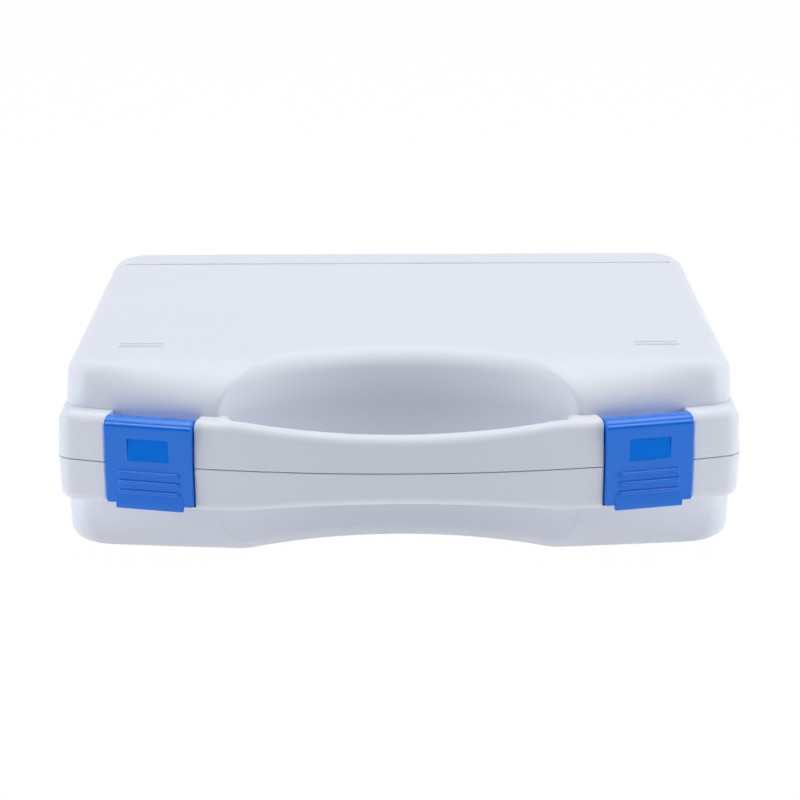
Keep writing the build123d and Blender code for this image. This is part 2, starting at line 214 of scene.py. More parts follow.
@dataclass(frozen=True)
class DrawnSteel:
    """Bright drawn steel wire: fine lines run along the wire, which is how it left the die."""

    name: str = "drawn_steel_wire"
    colour: str = "#B9BDC2"
    line_mm: float = 0.12
    stretch: float = 0.02

    def material(self) -> bpy.types.Material:
        """Build the material: a metal whose roughness follows long thin lines along X.

        Returns:
            The material.
        """
        made, tree = empty_material(self.name)
        where = add_node(tree, "ShaderNodeTexCoord").outputs["Object"]
        stretched = add_node(tree, "ShaderNodeMapping", {"Vector": where, "Scale": (self.stretch, 1.0, 1.0)})
        lines = add_node(tree, "ShaderNodeTexNoise",
                         {"Vector": stretched.outputs["Vector"], "Scale": 1 / (self.line_mm * MM),
                          "Detail": 2.0})
        rough = add_node(tree, "ShaderNodeMapRange",
                         {"Value": lines.outputs["Fac"], "To Min": 0.22, "To Max": 0.42})
        bumped = add_node(tree, "ShaderNodeBump",
                          {"Height": lines.outputs["Fac"], "Distance": 0.004 * MM, "Strength": 0.5})
        shader = add_node(tree, "ShaderNodeBsdfPrincipled",
                          {"Base Color": linear(self.colour), "Metallic": 1.0,
                           "Roughness": rough.outputs["Result"], "Normal": bumped.outputs["Normal"]})
        add_node(tree, "ShaderNodeOutputMaterial", {"Surface": shader.outputs["BSDF"]})
        return made


@dataclass(frozen=True)
class CellFoam:
    """Open-cell polyurethane foam: dark, dull, with a pitted skin of cut cells and no highlight."""

    name: str = "open_cell_foam"
    colour: str = "#3B3E44"
    pit_shade_colour: str = "#1B1D20"
    cell_mm: float = 0.9
    pit_mm: float = 0.25

    def material(self) -> bpy.types.Material:
        """Build the material: cut cells as pits, with painted shade darkening them inside, and the soft
        sheen of cut walls.

        Returns:
            The material.
        """
        made, tree = empty_material(self.name)
        where = add_node(tree, "ShaderNodeTexCoord").outputs["Object"]
        cells = add_node(tree, "ShaderNodeTexVoronoi", {"Vector": where, "Scale": 1 / (self.cell_mm * MM)})
        depth = add_node(tree, "ShaderNodeMapRange",
                         {"Value": cells.outputs["Distance"], "From Min": 0.15, "From Max": 0.75})
        # Painted shade: the pits are mixed towards the darker pit colour, deepest at each cell's middle.
        colour = add_node(tree, "ShaderNodeMix",
                          {"Factor": depth.outputs["Result"], "A": linear(self.pit_shade_colour),
                           "B": linear(self.colour)}, data_type="RGBA")
        bumped = add_node(tree, "ShaderNodeBump",
                          {"Height": depth.outputs["Result"], "Distance": self.pit_mm * MM,
                           "Strength": 0.7})
        shader = add_node(tree, "ShaderNodeBsdfPrincipled",
                          {"Base Color": colour.outputs["Result"], "Roughness": 0.95,
                           "Sheen Weight": 0.15, "Normal": bumped.outputs["Normal"]})
        add_node(tree, "ShaderNodeOutputMaterial", {"Surface": shader.outputs["BSDF"]})
        return made


SHELL_PLASTIC = MouldedPlastic("moulded_polypropylene", "#E2E7F1", "#DFE4EF", roughness=0.52,
                               polished=0.44, shine=0.4)
LATCH_PLASTIC = MouldedPlastic("moulded_latch_plastic", "#0078EC", "#0074E8", roughness=0.25,
                               polished=0.2, shine=0.5, edge_radius_mm=0.35)
INSET_PLASTIC = MouldedPlastic("smooth_inset_plastic", "#007AEE", "#0077EA", roughness=0.34,
                               polished=0.28, shine=0.06, edge_radius_mm=0.25, grain_height_mm=0.003)
PIN_STEEL = DrawnSteel()
FOAM = CellFoam()


def bow_y(radius: float, x: float) -> float:
    """Depth of a circle about the bow's centre, at a distance x from the middle."""
    return BOW_CENTRE_Y - math.sqrt(radius**2 - x**2)


def lean(degrees: float, height: float) -> float:
    """How far a drafted wall has moved sideways at a height."""
    return math.tan(math.radians(degrees)) * height


def rounded(radius: float, top: float, rise: float) -> float:
    """How far a quarter-round edge has drawn in at a rise, below a top."""
    above = max(rise - (top - radius), 0.0)
    return radius - math.sqrt(max(radius**2 - above**2, 0.0))


def spread(start: float, end: float, count: int) -> list[float]:
    """Evenly spaced values from start to end, both included."""
    return [start + (end - start) * i / (count - 1) for i in range(count)]


def arc_points(centre: Vector, start: Vector, end: Vector, count: int) -> Ring:
    """Points on the short arc about a centre from one point to another.

    Args:
        centre: The arc's centre.
        start: The first point.
        end: The last point.
        count: How many points, both ends included.

    Returns:
        The points in order.
    """
    first, last = start - centre, end - centre
    radius = first.length
    low = math.atan2(first.y, first.x)
    turn = (math.atan2(last.y, last.x) - low + math.pi) % (2 * math.pi) - math.pi
    return [centre + radius * Vector((math.cos(low + turn * t), math.sin(low + turn * t)))
            for t in spread(0.0, 1.0, count)]


def line_points(start: Vector, end: Vector, count: int) -> Ring:
    """Evenly spaced points on a line, both ends included."""
    return [start.lerp(end, t) for t in spread(0.0, 1.0, count)]


def mirrored(points: Ring) -> Ring:
    """The mirror image of points in the middle plane, in reverse order."""
    return [Vector((-p.x, p.y)) for p in reversed(points)]


def whole_ring(half: Ring) -> Ring:
    """Complete a right half that starts and ends on the middle plane with its mirror image."""
    return half + mirrored(half[1:-1])


@dataclass(frozen=True)
class PlanCounts:
    """How many points each stretch of half a wall's plan has."""

    scoop: int = 22
    ridge: int = 8
    front: int = 12
    corner: int = 9
    side: int = 12
    rear_corner: int = 11
    rear: int = 14


COUNTS = PlanCounts()


def corners_and_back(centre: Vector, start: Vector, half: float, rear: float, radius: float) -> Ring:
    """Half a plan from the end of its front: front corner, side, rear corner and rear.

    Args:
        centre: Centre of the front corner.
        start: The front's last point, which isn't repeated.
        half: Distance of the side from the middle.
        rear: Depth of the rear.
        radius: Radius of the rear corner.

    Returns:
        Points that end at the middle of the rear.
    """
    side_start = Vector((half, centre.y))
    rear_centre = Vector((half - radius, rear - radius))
    side_end = Vector((half, rear_centre.y))
    rear_start = Vector((rear_centre.x, rear))
    return (arc_points(centre, start, side_start, COUNTS.corner)[1:]
            + line_points(side_start, side_end, COUNTS.side)[1:]
            + arc_points(rear_centre, side_end, rear_start, COUNTS.rear_corner)[1:]
            + line_points(rear_start, Vector((0.0, rear)), COUNTS.rear)[1:])


@dataclass(frozen=True)
class ShellForm:
    """The drafted wall and rounded top of one shell, with its finger scoop.

    Rises are measured from the split, up for the lid and down for the base. The front shoulder starts
    at the foot, where the wall leaves the rim, and draws in by shoulder_mid in the middle and by
    shoulder_side at reference_x until it meets the top.
    """

    height: float
    foot: float
    edge: float
    draft: float
    shoulder_mid: float
    shoulder_side: float
    scoop_lean: float
    front_corner: float = 17.0
    rear_corner: float = 20.0
    reference_x: float = 150.0
    least_sag: float = 0.001
    least_corner: float = 1.0
    flare: float = 9.0
    ridge_low: float = 4.0
    ridge_high: float = 14.0
    wall_steps: int = 12
    round_steps: int = 14

    def scoop_circle(self, rise: float, flare: float, inset: float) -> tuple[float, float]:
        """The scoop's arc at a rise.

        Args:
            rise: Height from the split.
            flare: How far the rounded top edge has opened the arc.
            inset: Distance inside the outer surface.

        Returns:
            The arc's radius and the depth of its centre.
        """
        depth = SCOOP_DEPTH + self.scoop_lean * rise
        sag = depth - (bow_y(FOOT_RADIUS, SCOOP_HALF_WIDTH) + CASE_DEPTH / 2)
        radius = (SCOOP_HALF_WIDTH**2 + sag**2) / (2 * sag) + flare + inset
        return radius, -CASE_DEPTH / 2 + depth + flare + inset - radius

    def half_plan(self, side: float, mid: float, edge: float, scoop: tuple[float, float], ridge: float,
                  inset: float) -> Ring:
        """Right half of the wall's plan: scoop, ridge, bowed front, corner, side, rear corner and rear.

        Args:
            side: How far the sides and rear have drawn in.
            mid: How far the front has drawn in at the middle.
            edge: How far the front has drawn in near the corners.
            scoop: Radius and centre depth of the scoop's arc.
            ridge: Radius of the ridge between scoop and front.
            inset: Distance inside the outer surface.

        Returns:
            Points from the scoop's deepest point round to the middle of the rear.
        """
        half = WALL_HALF_WIDTH - side - inset
        rear = WALL_REAR - side - inset
        front_mid = bow_y(FOOT_RADIUS, 0.0) + mid + inset
        front_edge = bow_y(FOOT_RADIUS, self.reference_x) + edge + inset
        sag = front_edge - front_mid
        sag = math.copysign(max(abs(sag), self.least_sag), sag)
        bow = (self.reference_x**2 + sag**2) / (2 * sag)
        bow_centre = Vector((0.0, front_mid + bow))
        scoop_radius, scoop_y = scoop
        scoop_centre = Vector((0.0, scoop_y))
        reach_scoop, reach_bow = scoop_radius + ridge, bow - ridge
        ridge_y = ((reach_scoop**2 - reach_bow**2 - scoop_y**2 + bow_centre.y**2)
                   / (2 * (bow_centre.y - scoop_y)))
        ridge_centre = Vector((math.sqrt(reach_scoop**2 - (ridge_y - scoop_y) ** 2), ridge_y))
        on_scoop = scoop_centre.lerp(ridge_centre, scoop_radius / reach_scoop)
        on_bow = bow_centre + (ridge_centre - bow_centre) * (bow / reach_bow)
        corner = self.front_corner - inset
        corner_y = bow_centre.y - math.copysign(math.sqrt((bow - corner) ** 2 - (half - corner) ** 2), bow)
        corner_centre = Vector((half - corner, corner_y))
        corner_start = bow_centre + (corner_centre - bow_centre) * (bow / (bow - corner))
        rear_radius = max(self.rear_corner - side - inset, self.least_corner)
        deepest = Vector((0.0, scoop_y + scoop_radius))
        return (arc_points(scoop_centre, deepest, on_scoop, COUNTS.scoop)
                + arc_points(ridge_centre, on_scoop, on_bow, COUNTS.ridge)[1:]
                + arc_points(bow_centre, on_bow, corner_start, COUNTS.front)[1:]
                + corners_and_back(corner_centre, corner_start, half, rear, rear_radius))

    def ring(self, rise: float, inset: float) -> Ring:
        """The whole plan ring at a rise.

        Args:
            rise: Height from the split.
            inset: Distance inside the outer surface.

        Returns:
            The closed ring's points.
        """
        top, edge = self.height - inset, self.edge - inset
        share = rounded(top - self.foot, top, max(rise, self.foot)) / (top - self.foot)
        ridge = self.ridge_low + (self.ridge_high - self.ridge_low) * share
        scoop = self.scoop_circle(rise, rounded(self.flare - inset, top, rise), inset)
        side = lean(self.draft, rise) + rounded(edge, top, rise)
        mid, corner = self.shoulder_mid * share, self.shoulder_side * share
        half = self.half_plan(side, mid, corner, scoop, ridge, inset)
        return [Vector((p.x, p.y, rise)) for p in whole_ring(half)]

    def solid(self, inset: float, start: float) -> Mesh:
        """The closed form from a starting rise to the top.

        Args:
            inset: Distance inside the outer surface.
            start: The rise that it starts from.

        Returns:
            The closed mesh.
        """
        top, edge = self.height - inset, self.edge - inset
        wall_top = top - edge
        rises = [start] + spread(self.foot, wall_top, self.wall_steps)
        rises += [wall_top + edge * math.sin(turn) for turn in spread(0.0, QUARTER, self.round_steps)][1:]
        return stack_rings([self.ring(rise, inset) for rise in rises])

    def lip(self, inset: float, low: float, high: float) -> Mesh:
        """A straight prism of the wall's plan at the split, between two rises."""
        scoop = self.scoop_circle(0.0, 0.0, inset)
        return prism(whole_ring(self.half_plan(0.0, 0.0, 0.0, scoop, self.ridge_low, inset)), low, high)


LID_FORM = ShellForm(height=44.5, foot=22.5, edge=8.0, draft=2.0, shoulder_mid=50.0, shoulder_side=11.0,
                     scoop_lean=0.35)
BASE_FORM = ShellForm(height=SPLIT, foot=22.2, edge=8.4, draft=0.5, shoulder_mid=25.75,
                      shoulder_side=9.5, scoop_lean=0.01)


def extrude_ring(mesh: Mesh, ring: list[bmesh.types.BMVert], points: Ring) -> list[bmesh.types.BMVert]:
    """Extrude a closed loop of vertices and move each new vertex to its place.

    Args:
        mesh: The mesh that holds the loop.
        ring: The loop's vertices in order.
        points: Where the new vertices go, in the same order.

    Returns:
        The new loop's vertices in order.
    """
    after = ring[1:] + ring[:1]
    edges = [mesh.edges.get((a, b)) for a, b in zip(ring, after)]
    made = bmesh.ops.extrude_edge_only(mesh, edges=edges)["geom"]
    fresh = {item for item in made if isinstance(item, bmesh.types.BMVert)}
    grown = []
    for vertex, point in zip(ring, points):
        partner = next(e.other_vert(vertex) for e in vertex.link_edges if e.other_vert(vertex) in fresh)
        partner.co = point
        grown.append(partner)
    return grown


def first_ring(mesh: Mesh, points: Ring) -> list[bmesh.types.BMVert]:
    """Start a loft with a closed loop of vertices and edges.

    Args:
        mesh: The mesh to start.
        points: Where the vertices go, in order.

    Returns:
        The loop's vertices in order.
    """
    ring = [mesh.verts.new(point) for point in points]
    for a, b in zip(ring, ring[1:] + ring[:1]):
        mesh.edges.new((a, b))
    return ring


def stack_rings(rings: Sequence[Ring]) -> Mesh:
    """Loft closed rings in order and cap both ends.

    Args:
        rings: Rings with the same number of points.

    Returns:
        A closed mesh with its faces outwards.
    """
    mesh = bmesh.new()
    ring = first_ring(mesh, rings[0])
    mesh.faces.new(ring)
    for points in rings[1:]:
        ring = extrude_ring(mesh, ring, points)
    mesh.faces.new(ring)
    bmesh.ops.recalc_face_normals(mesh, faces=mesh.faces)
    return mesh


def loop_rings(rings: Sequence[Ring]) -> Mesh:
    """Loft closed rings in order and join the last back to the first, like a tube closed on itself.

    Args:
        rings: Rings with the same number of points.

    Returns:
        A closed mesh with its faces outwards.
    """
    mesh = bmesh.new()
    ring = first_ring(mesh, rings[0])
    for points in rings[1:]:
        ring = extrude_ring(mesh, ring, points)
    extrude_ring(mesh, ring, rings[0])
    bmesh.ops.remove_doubles(mesh, verts=mesh.verts, dist=SAME_POINT)
    bmesh.ops.recalc_face_normals(mesh, faces=mesh.faces)
    return mesh


def soften(mesh: Mesh, edges: Sequence[bmesh.types.BMEdge], radius: float, steps: int) -> None:
    """Round some of a mesh's edges.

    Args:
        mesh: The mesh to change.
        edges: The edges to round.
        radius: How wide the rounding is.
        steps: Segments across it.
    """
    bmesh.ops.bevel(mesh, geom=list(edges), offset=radius, offset_type="OFFSET", segments=steps,
                    profile=0.5, affect="EDGES", material=-1)


def end_edges(mesh: Mesh) -> list[bmesh.types.BMEdge]:
    """The edges round the end faces of a prism, which have more than four sides."""
    return [e for e in mesh.edges if any(len(f.verts) > 4 for f in e.link_faces)]


def edges_above(mesh: Mesh, height: float) -> list[bmesh.types.BMEdge]:
    """The edges that lie wholly above a height."""
    return [e for e in mesh.edges if min(v.co.z for v in e.verts) > height]


def block(low: Sequence[float], high: Sequence[float], soft: float = 0.0, steps: int = 3) -> Mesh:
    """A box between two corners, with softened edges if asked.

    Args:
        low: The lowest corner.
        high: The highest corner.
        soft: The radius on every edge.
        steps: Segments across each softened edge.

    Returns:
        The closed mesh.
    """
    mesh = bmesh.new()
    bmesh.ops.create_cube(mesh, size=1.0)
    size = [b - a for a, b in zip(low, high)]
    middle = [(a + b) / 2 for a, b in zip(low, high)]
    bmesh.ops.scale(mesh, vec=size, verts=mesh.verts)
    bmesh.ops.translate(mesh, vec=middle, verts=mesh.verts)
    if soft:
        soften(mesh, mesh.edges, soft, steps)
    return mesh


def rod(radius: float, x_low: float, x_high: float, y: float, z: float, soft: float = 0.0,
        sides: int = 48) -> Mesh:
    """A round bar along X, with softened ends if asked.

    Args:
        radius: The bar's radius.
        x_low: Where it starts.
        x_high: Where it ends.
        y: Depth of its axis.
        z: Height of its axis.
        soft: The radius on both end edges.
        sides: How many flat sides stand for the round one.

    Returns:
        The closed mesh.
    """
    mesh = bmesh.new()
    bmesh.ops.create_cone(mesh, cap_ends=True, segments=sides, radius1=radius, radius2=radius,
                          depth=x_high - x_low)
    bmesh.ops.rotate(mesh, cent=(0, 0, 0), matrix=Matrix.Rotation(QUARTER, 3, "Y"), verts=mesh.verts)
    bmesh.ops.translate(mesh, vec=((x_low + x_high) / 2, y, z), verts=mesh.verts)
    if soft:
        soften(mesh, end_edges(mesh), soft, steps=3)
    return mesh


def prism(points: Ring, low: float, high: float) -> Mesh:
    """An upright prism of a plan outline between two heights."""
    return stack_rings([[Vector((p.x, p.y, z)) for p in points] for z in (low, high)])


def side_prism(points: Ring, half_width: float) -> Mesh:
    """A prism along X of a side outline, whose points give depth and height."""
    return stack_rings([[Vector((x, p.x, p.y)) for p in points] for x in (-half_width, half_width)])


def slot_outline(length: float, width: float, centre: Vector, steps: int = 9) -> Ring:
    """Outline of a bar with round ends, along X.

    Args:
        length: Overall length.
        width: Overall width.
        centre: The middle of the bar.
        steps: Points on each round end.

    Returns:
        The outline's points.
    """
    radius, reach = width / 2, (length - width) / 2
    turns = spread(-QUARTER, QUARTER, steps)
    right = [centre + Vector((reach + radius * math.cos(a), radius * math.sin(a))) for a in turns]
    left = [centre + Vector((-reach - radius * math.cos(a), -radius * math.sin(a))) for a in turns]
    return right + left


def soft_bar(length: float, width: float, height: float, centre: Vector, low: float,
             dome: float = math.radians(84), steps: int = 6) -> Mesh:
    """A low bar with round ends and a domed top, standing on a height.

    Args:
        length: Overall length along X.
        width: Overall width along Y.
        height: Rise of the dome above the straight part.
        centre: The middle of its plan.
        low: The height that its straight part starts from.
        dome: How far the dome's section turns, which leaves a narrow flat along the top.
        steps: Rings on the dome.

    Returns:
        The closed mesh.
    """
    levels = [(0.0, low)]
    for turn in spread(0.0, dome, steps):
        levels.append((width / 2 * (1 - math.cos(turn)), low + OVER + height * math.sin(turn)))
    rings = []
    for inset, z in levels:
        outline = slot_outline(length - 2 * inset, width - 2 * inset, centre)
        rings.append([Vector((p.x, p.y, z)) for p in outline])
    return stack_rings(rings)


def moved(mesh: Mesh, place: Matrix) -> Mesh:
    """Transform a mesh in place, with its faces kept outwards.

    Args:
        mesh: The mesh to move.
        place: The transform.

    Returns:
        The same mesh.
    """
    bmesh.ops.transform(mesh, matrix=place, verts=mesh.verts)
    if place.determinant() < 0:
        bmesh.ops.reverse_faces(mesh, faces=mesh.faces)
    return mesh


def combine(start: Mesh, steps: Sequence[tuple[Join, Mesh]]) -> Mesh:
    """Join solids to a first one, or cut them from it, in order.

    Args:
        start: The first solid.
        steps: What to do with each further solid.

    Returns:
        The resulting closed mesh. All the meshes passed in are freed.
    """
    helpers = []
    for number, solid in enumerate([start, *[mesh for _, mesh in steps]]):
        data = bpy.data.meshes.new(f"helper_{number}")
        solid.to_mesh(data)
        solid.free()
        helper = bpy.data.objects.new(f"helper_{number}", data)
        bpy.context.scene.collection.objects.link(helper)
        helpers.append(helper)
    for (join, _), helper in zip(steps, helpers[1:]):
        modifier = helpers[0].modifiers.new("join", "BOOLEAN")
        modifier.object = helper
        modifier.operation = join.value
        modifier.solver = "MANIFOLD"
    evaluated = helpers[0].evaluated_get(bpy.context.evaluated_depsgraph_get())
    result = bmesh.new()
    result.from_mesh(evaluated.to_mesh())
    evaluated.to_mesh_clear()
    for helper in helpers:
        data = helper.data
        bpy.data.objects.remove(helper)
        bpy.data.meshes.remove(data)
    bmesh.ops.remove_doubles(result, verts=result.verts, dist=SLIVER)
    bmesh.ops.dissolve_degenerate(result, dist=SLIVER, edges=result.edges)
    return result


def finish_piece(name: str, mesh: Mesh, body: str, nodes: Sequence[str], material: bpy.types.Material,
                 sharp_degrees: float = 32.0) -> bpy.types.Object:
    """Bring a mesh to metres, smooth and dress it, and hand it to the frame.

    Faces of more than four sides are split here, because the export's own splitting of them can use one
    edge for two faces and leave a mesh that isn't closed.

    Args:
        name: The piece's name.
        mesh: The mesh in millimetres; it is freed.
        body: The moving body that it rides on.
        nodes: The CAD nodes that it stands for.
        material: Its finish.
        sharp_degrees: Edges that turn by more than this stay crisp.

    Returns:
        The finished object.
    """
    bmesh.ops.triangulate(mesh, faces=[f for f in mesh.faces if len(f.verts) > 4])
    bmesh.ops.scale(mesh, vec=(MM, MM, MM), verts=mesh.verts)
    data = bpy.data.meshes.new(name)
    mesh.to_mesh(data)
    mesh.free()
    data.shade_smooth()
    data.set_sharp_from_angle(angle=math.radians(sharp_degrees))
    data.materials.clear()
    data.materials.append(material)
    piece = bpy.data.objects.new(name, data)
    bpy.context.scene.collection.objects.link(piece)
    weighted = piece.modifiers.new("even_shading", "WEIGHTED_NORMAL")
    weighted.keep_sharp = True
    weighted.weight = 60
    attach(piece, body)
    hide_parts(*nodes)
    LOG.info("%s: %d faces on %s", name, len(data.polygons), body)
    return piece


@dataclass(frozen=True)
class Rim:
    """The band round one shell's open edge, whose bowed front is one half of the handle.

    Its section is lofted all the way round: outer wall, rounded edge, top and inner side. Across the
    finger gap the inner side is the back of the handle; elsewhere it lies inside the shell's wall.
    """

    form: ShellForm
    rise: float
    handle_mid: float
    draft: float = 2.5
    edge: float = 4.7
    handle_edge: float = 5.4
    corner: float = 11.0
    rear_corner: float = 22.0
    dip_radius: float = 600.0
    dip_blend: float = 60.0
    gap_half_width: float = 82.0
    gap_corner: float = 3.0
    sunk: float = 8.0
    round_steps: int = 9
    gap_stations: int = 24
    turn_stations: int = 6
    wall_stations: int = 16

    def blend_x(self) -> float:
        """Distance from the middle at which the handle's dip has run out."""
        far = self.handle_mid + self.dip_radius - self.rise + self.dip_blend
        return math.sqrt((self.dip_radius + self.dip_blend) ** 2 - far**2)

    def top(self, x: float) -> float:
        """Rise of the handle's top, which dips in one wide arc that two smaller ones lead into.

        Args:
            x: Distance from the middle.

        Returns:
            The rise from the split.
        """
        x, end = abs(x), self.blend_x()
        if x >= end:
            return self.rise
        if x > end * self.dip_radius / (self.dip_radius + self.dip_blend):
            return self.rise - self.dip_blend + math.sqrt(self.dip_blend**2 - (end - x) ** 2)
        return self.handle_mid + self.dip_radius - math.sqrt(self.dip_radius**2 - x**2)

    def edge_at(self, x: float) -> float:
        """Radius of the top edge, fuller towards the middle of the handle."""
        share = max(1 - (x / self.blend_x()) ** 2, 0.0)
        return self.edge + (self.handle_edge - self.edge) * share

    def stations(self) -> list[float]:
        """Distances from the middle at which the rim's face is sampled.

        The stretch beside the gap's rounded end reaches a little past it, so that the flat top between
        face and gap never folds over itself.

        Returns:
            The distances in order.
        """
        start, end = self.gap_half_width - self.gap_corner, self.gap_half_width + self.edge + OVER
        return (spread(0.0, start, self.gap_stations) + spread(start, end, self.turn_stations + 1)[1:]
                + [end + OVER] + spread(end + 2 * OVER, self.front_end().x, self.wall_stations))

    def corner_centre(self) -> Vector:
        """Centre of the rounded front corner."""
        x = CASE_WIDTH / 2 - self.corner
        return Vector((x, bow_y(BOW_RADIUS - self.corner, x)))

    def front_end(self) -> Vector:
        """Where the bowed front meets the rounded front corner."""
        middle = Vector((0.0, BOW_CENTRE_Y))
        return middle + (self.corner_centre() - middle) * (BOW_RADIUS / (BOW_RADIUS - self.corner))

    def outer(self, inset: float) -> Ring:
        """Right half of the rim's outline.

        Args:
            inset: Distance inside the rim's face.

        Returns:
            Points from the middle of the front to the middle of the rear.
        """
        middle = Vector((0.0, BOW_CENTRE_Y))
        share = (BOW_RADIUS - inset) / BOW_RADIUS
        faces = [Vector((x, bow_y(BOW_RADIUS, x))) for x in self.stations()]
        front = [middle + (face - middle) * share for face in faces]
        return front + corners_and_back(self.corner_centre(), front[-1], CASE_WIDTH / 2 - inset,
                                        RIM_REAR - inset, self.rear_corner - inset)

    def handle_back(self, inset: float) -> Ring:
        """The handle's back from the middle outwards, with the gap's rounded end.

        Args:
            inset: How far it is drawn towards the rim's face.

        Returns:
            The points in order.
        """
        back = BOW_RADIUS - HANDLE_THICKNESS
        start = self.gap_half_width - self.gap_corner
        points = [Vector((x, bow_y(back + inset, x))) for x in spread(0.0, start, self.gap_stations)]
        centre = Vector((start, bow_y(back, start) + self.gap_corner))
        radius = self.gap_corner + inset
        turns = spread(0.0, QUARTER, self.turn_stations + 1)[1:]
        return points + [centre + radius * Vector((math.sin(t), -math.cos(t))) for t in turns]

    def inner(self, inset: float) -> Ring:
        """Right half of the rim's inner side.

        Args:
            inset: How far it is drawn towards the rim's face.

        Returns:
            Points from the middle of the front to the middle of the rear.
        """
        sunk = self.sunk - inset
        radius, centre_y = self.form.scoop_circle(0.0, 0.0, sunk)
        half, rear = WALL_HALF_WIDTH - sunk, WALL_REAR - sunk
        corner = self.form.front_corner - sunk
        front = self.handle_back(inset)
        past_end = self.gap_half_width + self.edge + self.gap_corner
        for x in [self.gap_half_width + inset, *spread(past_end, half - corner, self.wall_stations)]:
            scoop = centre_y + math.sqrt(max(radius**2 - x**2, 0.0))
            front.append(Vector((x, max(scoop, bow_y(FOOT_RADIUS - sunk, x)))))
        centre = front[-1] + Vector((0.0, corner))
        return front + corners_and_back(centre, front[-1], half, rear, self.form.rear_corner - sunk)

    def ring(self, points: Ring, inward: Ring, turn: float | None, draft: float, start: float) -> Ring:
        """One line of the rim's section, all the way round.

        Args:
            points: The side of the rim that the line lies on, as a plan.
            inward: The same plan at OVER inside the rim.
            turn: Angle on the rounded top edge, or None for the line at the rim's start.
            draft: How much this side leans, in degrees.
            start: The rise that the rim starts from.

        Returns:
            The closed ring's points.
        """
        ring = []
        for point, further in zip(points, inward):
            dipped = point.y < 0
            top = self.top(point.x) if dipped else self.rise
            edge = self.edge_at(point.x) if dipped else self.edge
            if turn is None:
                inset, rise = lean(draft, start), start
            else:
                rise = top - edge * (1 - math.sin(turn))
                inset = lean(draft, rise) + edge * (1 - math.cos(turn))
            place = point + (further - point) * (inset / OVER)
            ring.append(Vector((place.x, place.y, rise)))
        return ring

    def solid(self, start: float) -> Mesh:
        """The rim as one closed band with rounded top edges.

        Args:
            start: The rise that it starts from.

        Returns:
            The closed mesh.
        """
        outer, outer_next = whole_ring(self.outer(0.0)), whole_ring(self.outer(OVER))
        inner, inner_next = whole_ring(self.inner(0.0)), whole_ring(self.inner(OVER))
        turns = spread(0.0, QUARTER, self.round_steps)
        rings = [self.ring(outer, outer_next, turn, self.draft, start) for turn in (None, *turns)]
        rings += [self.ring(inner, inner_next, turn, 0.0, start) for turn in (*reversed(turns), None)]
        return loop_rings(rings)


LID_RIM = Rim(LID_FORM, rise=22.5, handle_mid=17.5)
BASE_RIM = Rim(BASE_FORM, rise=22.2, handle_mid=16.9)


@dataclass(frozen=True)
class HandleCells:
    """Ribbed hollows inside one half of the handle, which close on the other half at the split."""

    skin: float = 3.0
    depth: float = 14.0
    count: int = 6
    rib: float = 2.0
    span: float = 148.0
    stations: int = 6

    def solids(self) -> list[Mesh]:
        """One prism for each hollow.

        Returns:
            The prisms from left to right.
        """
        made = []
        pitch = self.span / self.count
        for index in range(self.count):
            x = (index - (self.count - 1) / 2) * pitch
            ends = spread(x - (pitch - self.rib) / 2, x + (pitch - self.rib) / 2, self.stations)
            front, back = BOW_RADIUS - self.skin, BOW_RADIUS - HANDLE_THICKNESS + self.skin
            outline = [Vector((end, bow_y(front, end))) for end in ends]
            outline += [Vector((end, bow_y(back, end))) for end in reversed(ends)]
            made.append(prism(outline, -OVER, self.depth))
        return made


@dataclass(frozen=True)
class Hinge:
    """One of the two rear hinges: a middle barrel on the lid between two on the base."""

    barrel: float = 4.0
    clearance: float = 0.3
    bore: float = 1.55
    lid_length: float = 16.0
    base_length: float = 11.0
    gap: float = 0.4
    web: float = 9.0
    offset: float = 80.0
    soft: float = 0.4

    def lid_span(self, hand: Hand) -> tuple[float, float]:
        """Ends of the lid's barrel."""
        centre = hand.value * self.offset
        return centre - self.lid_length / 2, centre + self.lid_length / 2

    def base_spans(self, hand: Hand) -> list[tuple[float, float]]:
        """Ends of the base's two barrels."""
        low, high = self.lid_span(hand)
        return [(low - self.gap - self.base_length, low - self.gap),
                (high + self.gap, high + self.gap + self.base_length)]

    def room(self, span: tuple[float, float]) -> Mesh:
        """Round hollow in which the other shell's barrel turns."""
        reach = self.barrel + self.clearance
        return rod(reach, span[0] - self.gap, span[1] + self.gap, HINGE_Y, 0.0)

    def hole(self, hand: Hand) -> Mesh:
        """The bore through all three barrels."""
        low, high = self.base_spans(hand)
        return rod(self.bore, low[0] - OVER, high[1] + OVER, HINGE_Y, 0.0)

    def knuckle(self, span: tuple[float, float]) -> Mesh:
        """A barrel with the web that carries it.

        Args:
            span: Ends of the barrel.

        Returns:
            The closed mesh.
        """
        near, inside = PARTING_GAP / 2, RIM_REAR - WALL / 2
        outline = [Vector((inside, near)), Vector((HINGE_Y + self.barrel, near)),
                   Vector((inside, self.web))]
        web = side_prism(outline, (span[1] - span[0]) / 2)
        moved(web, Matrix.Translation(((span[0] + span[1]) / 2, 0, 0)))
        return combine(rod(self.barrel, *span, HINGE_Y, 0.0, soft=self.soft), [(Join.ADD, web)])


HINGE = Hinge()


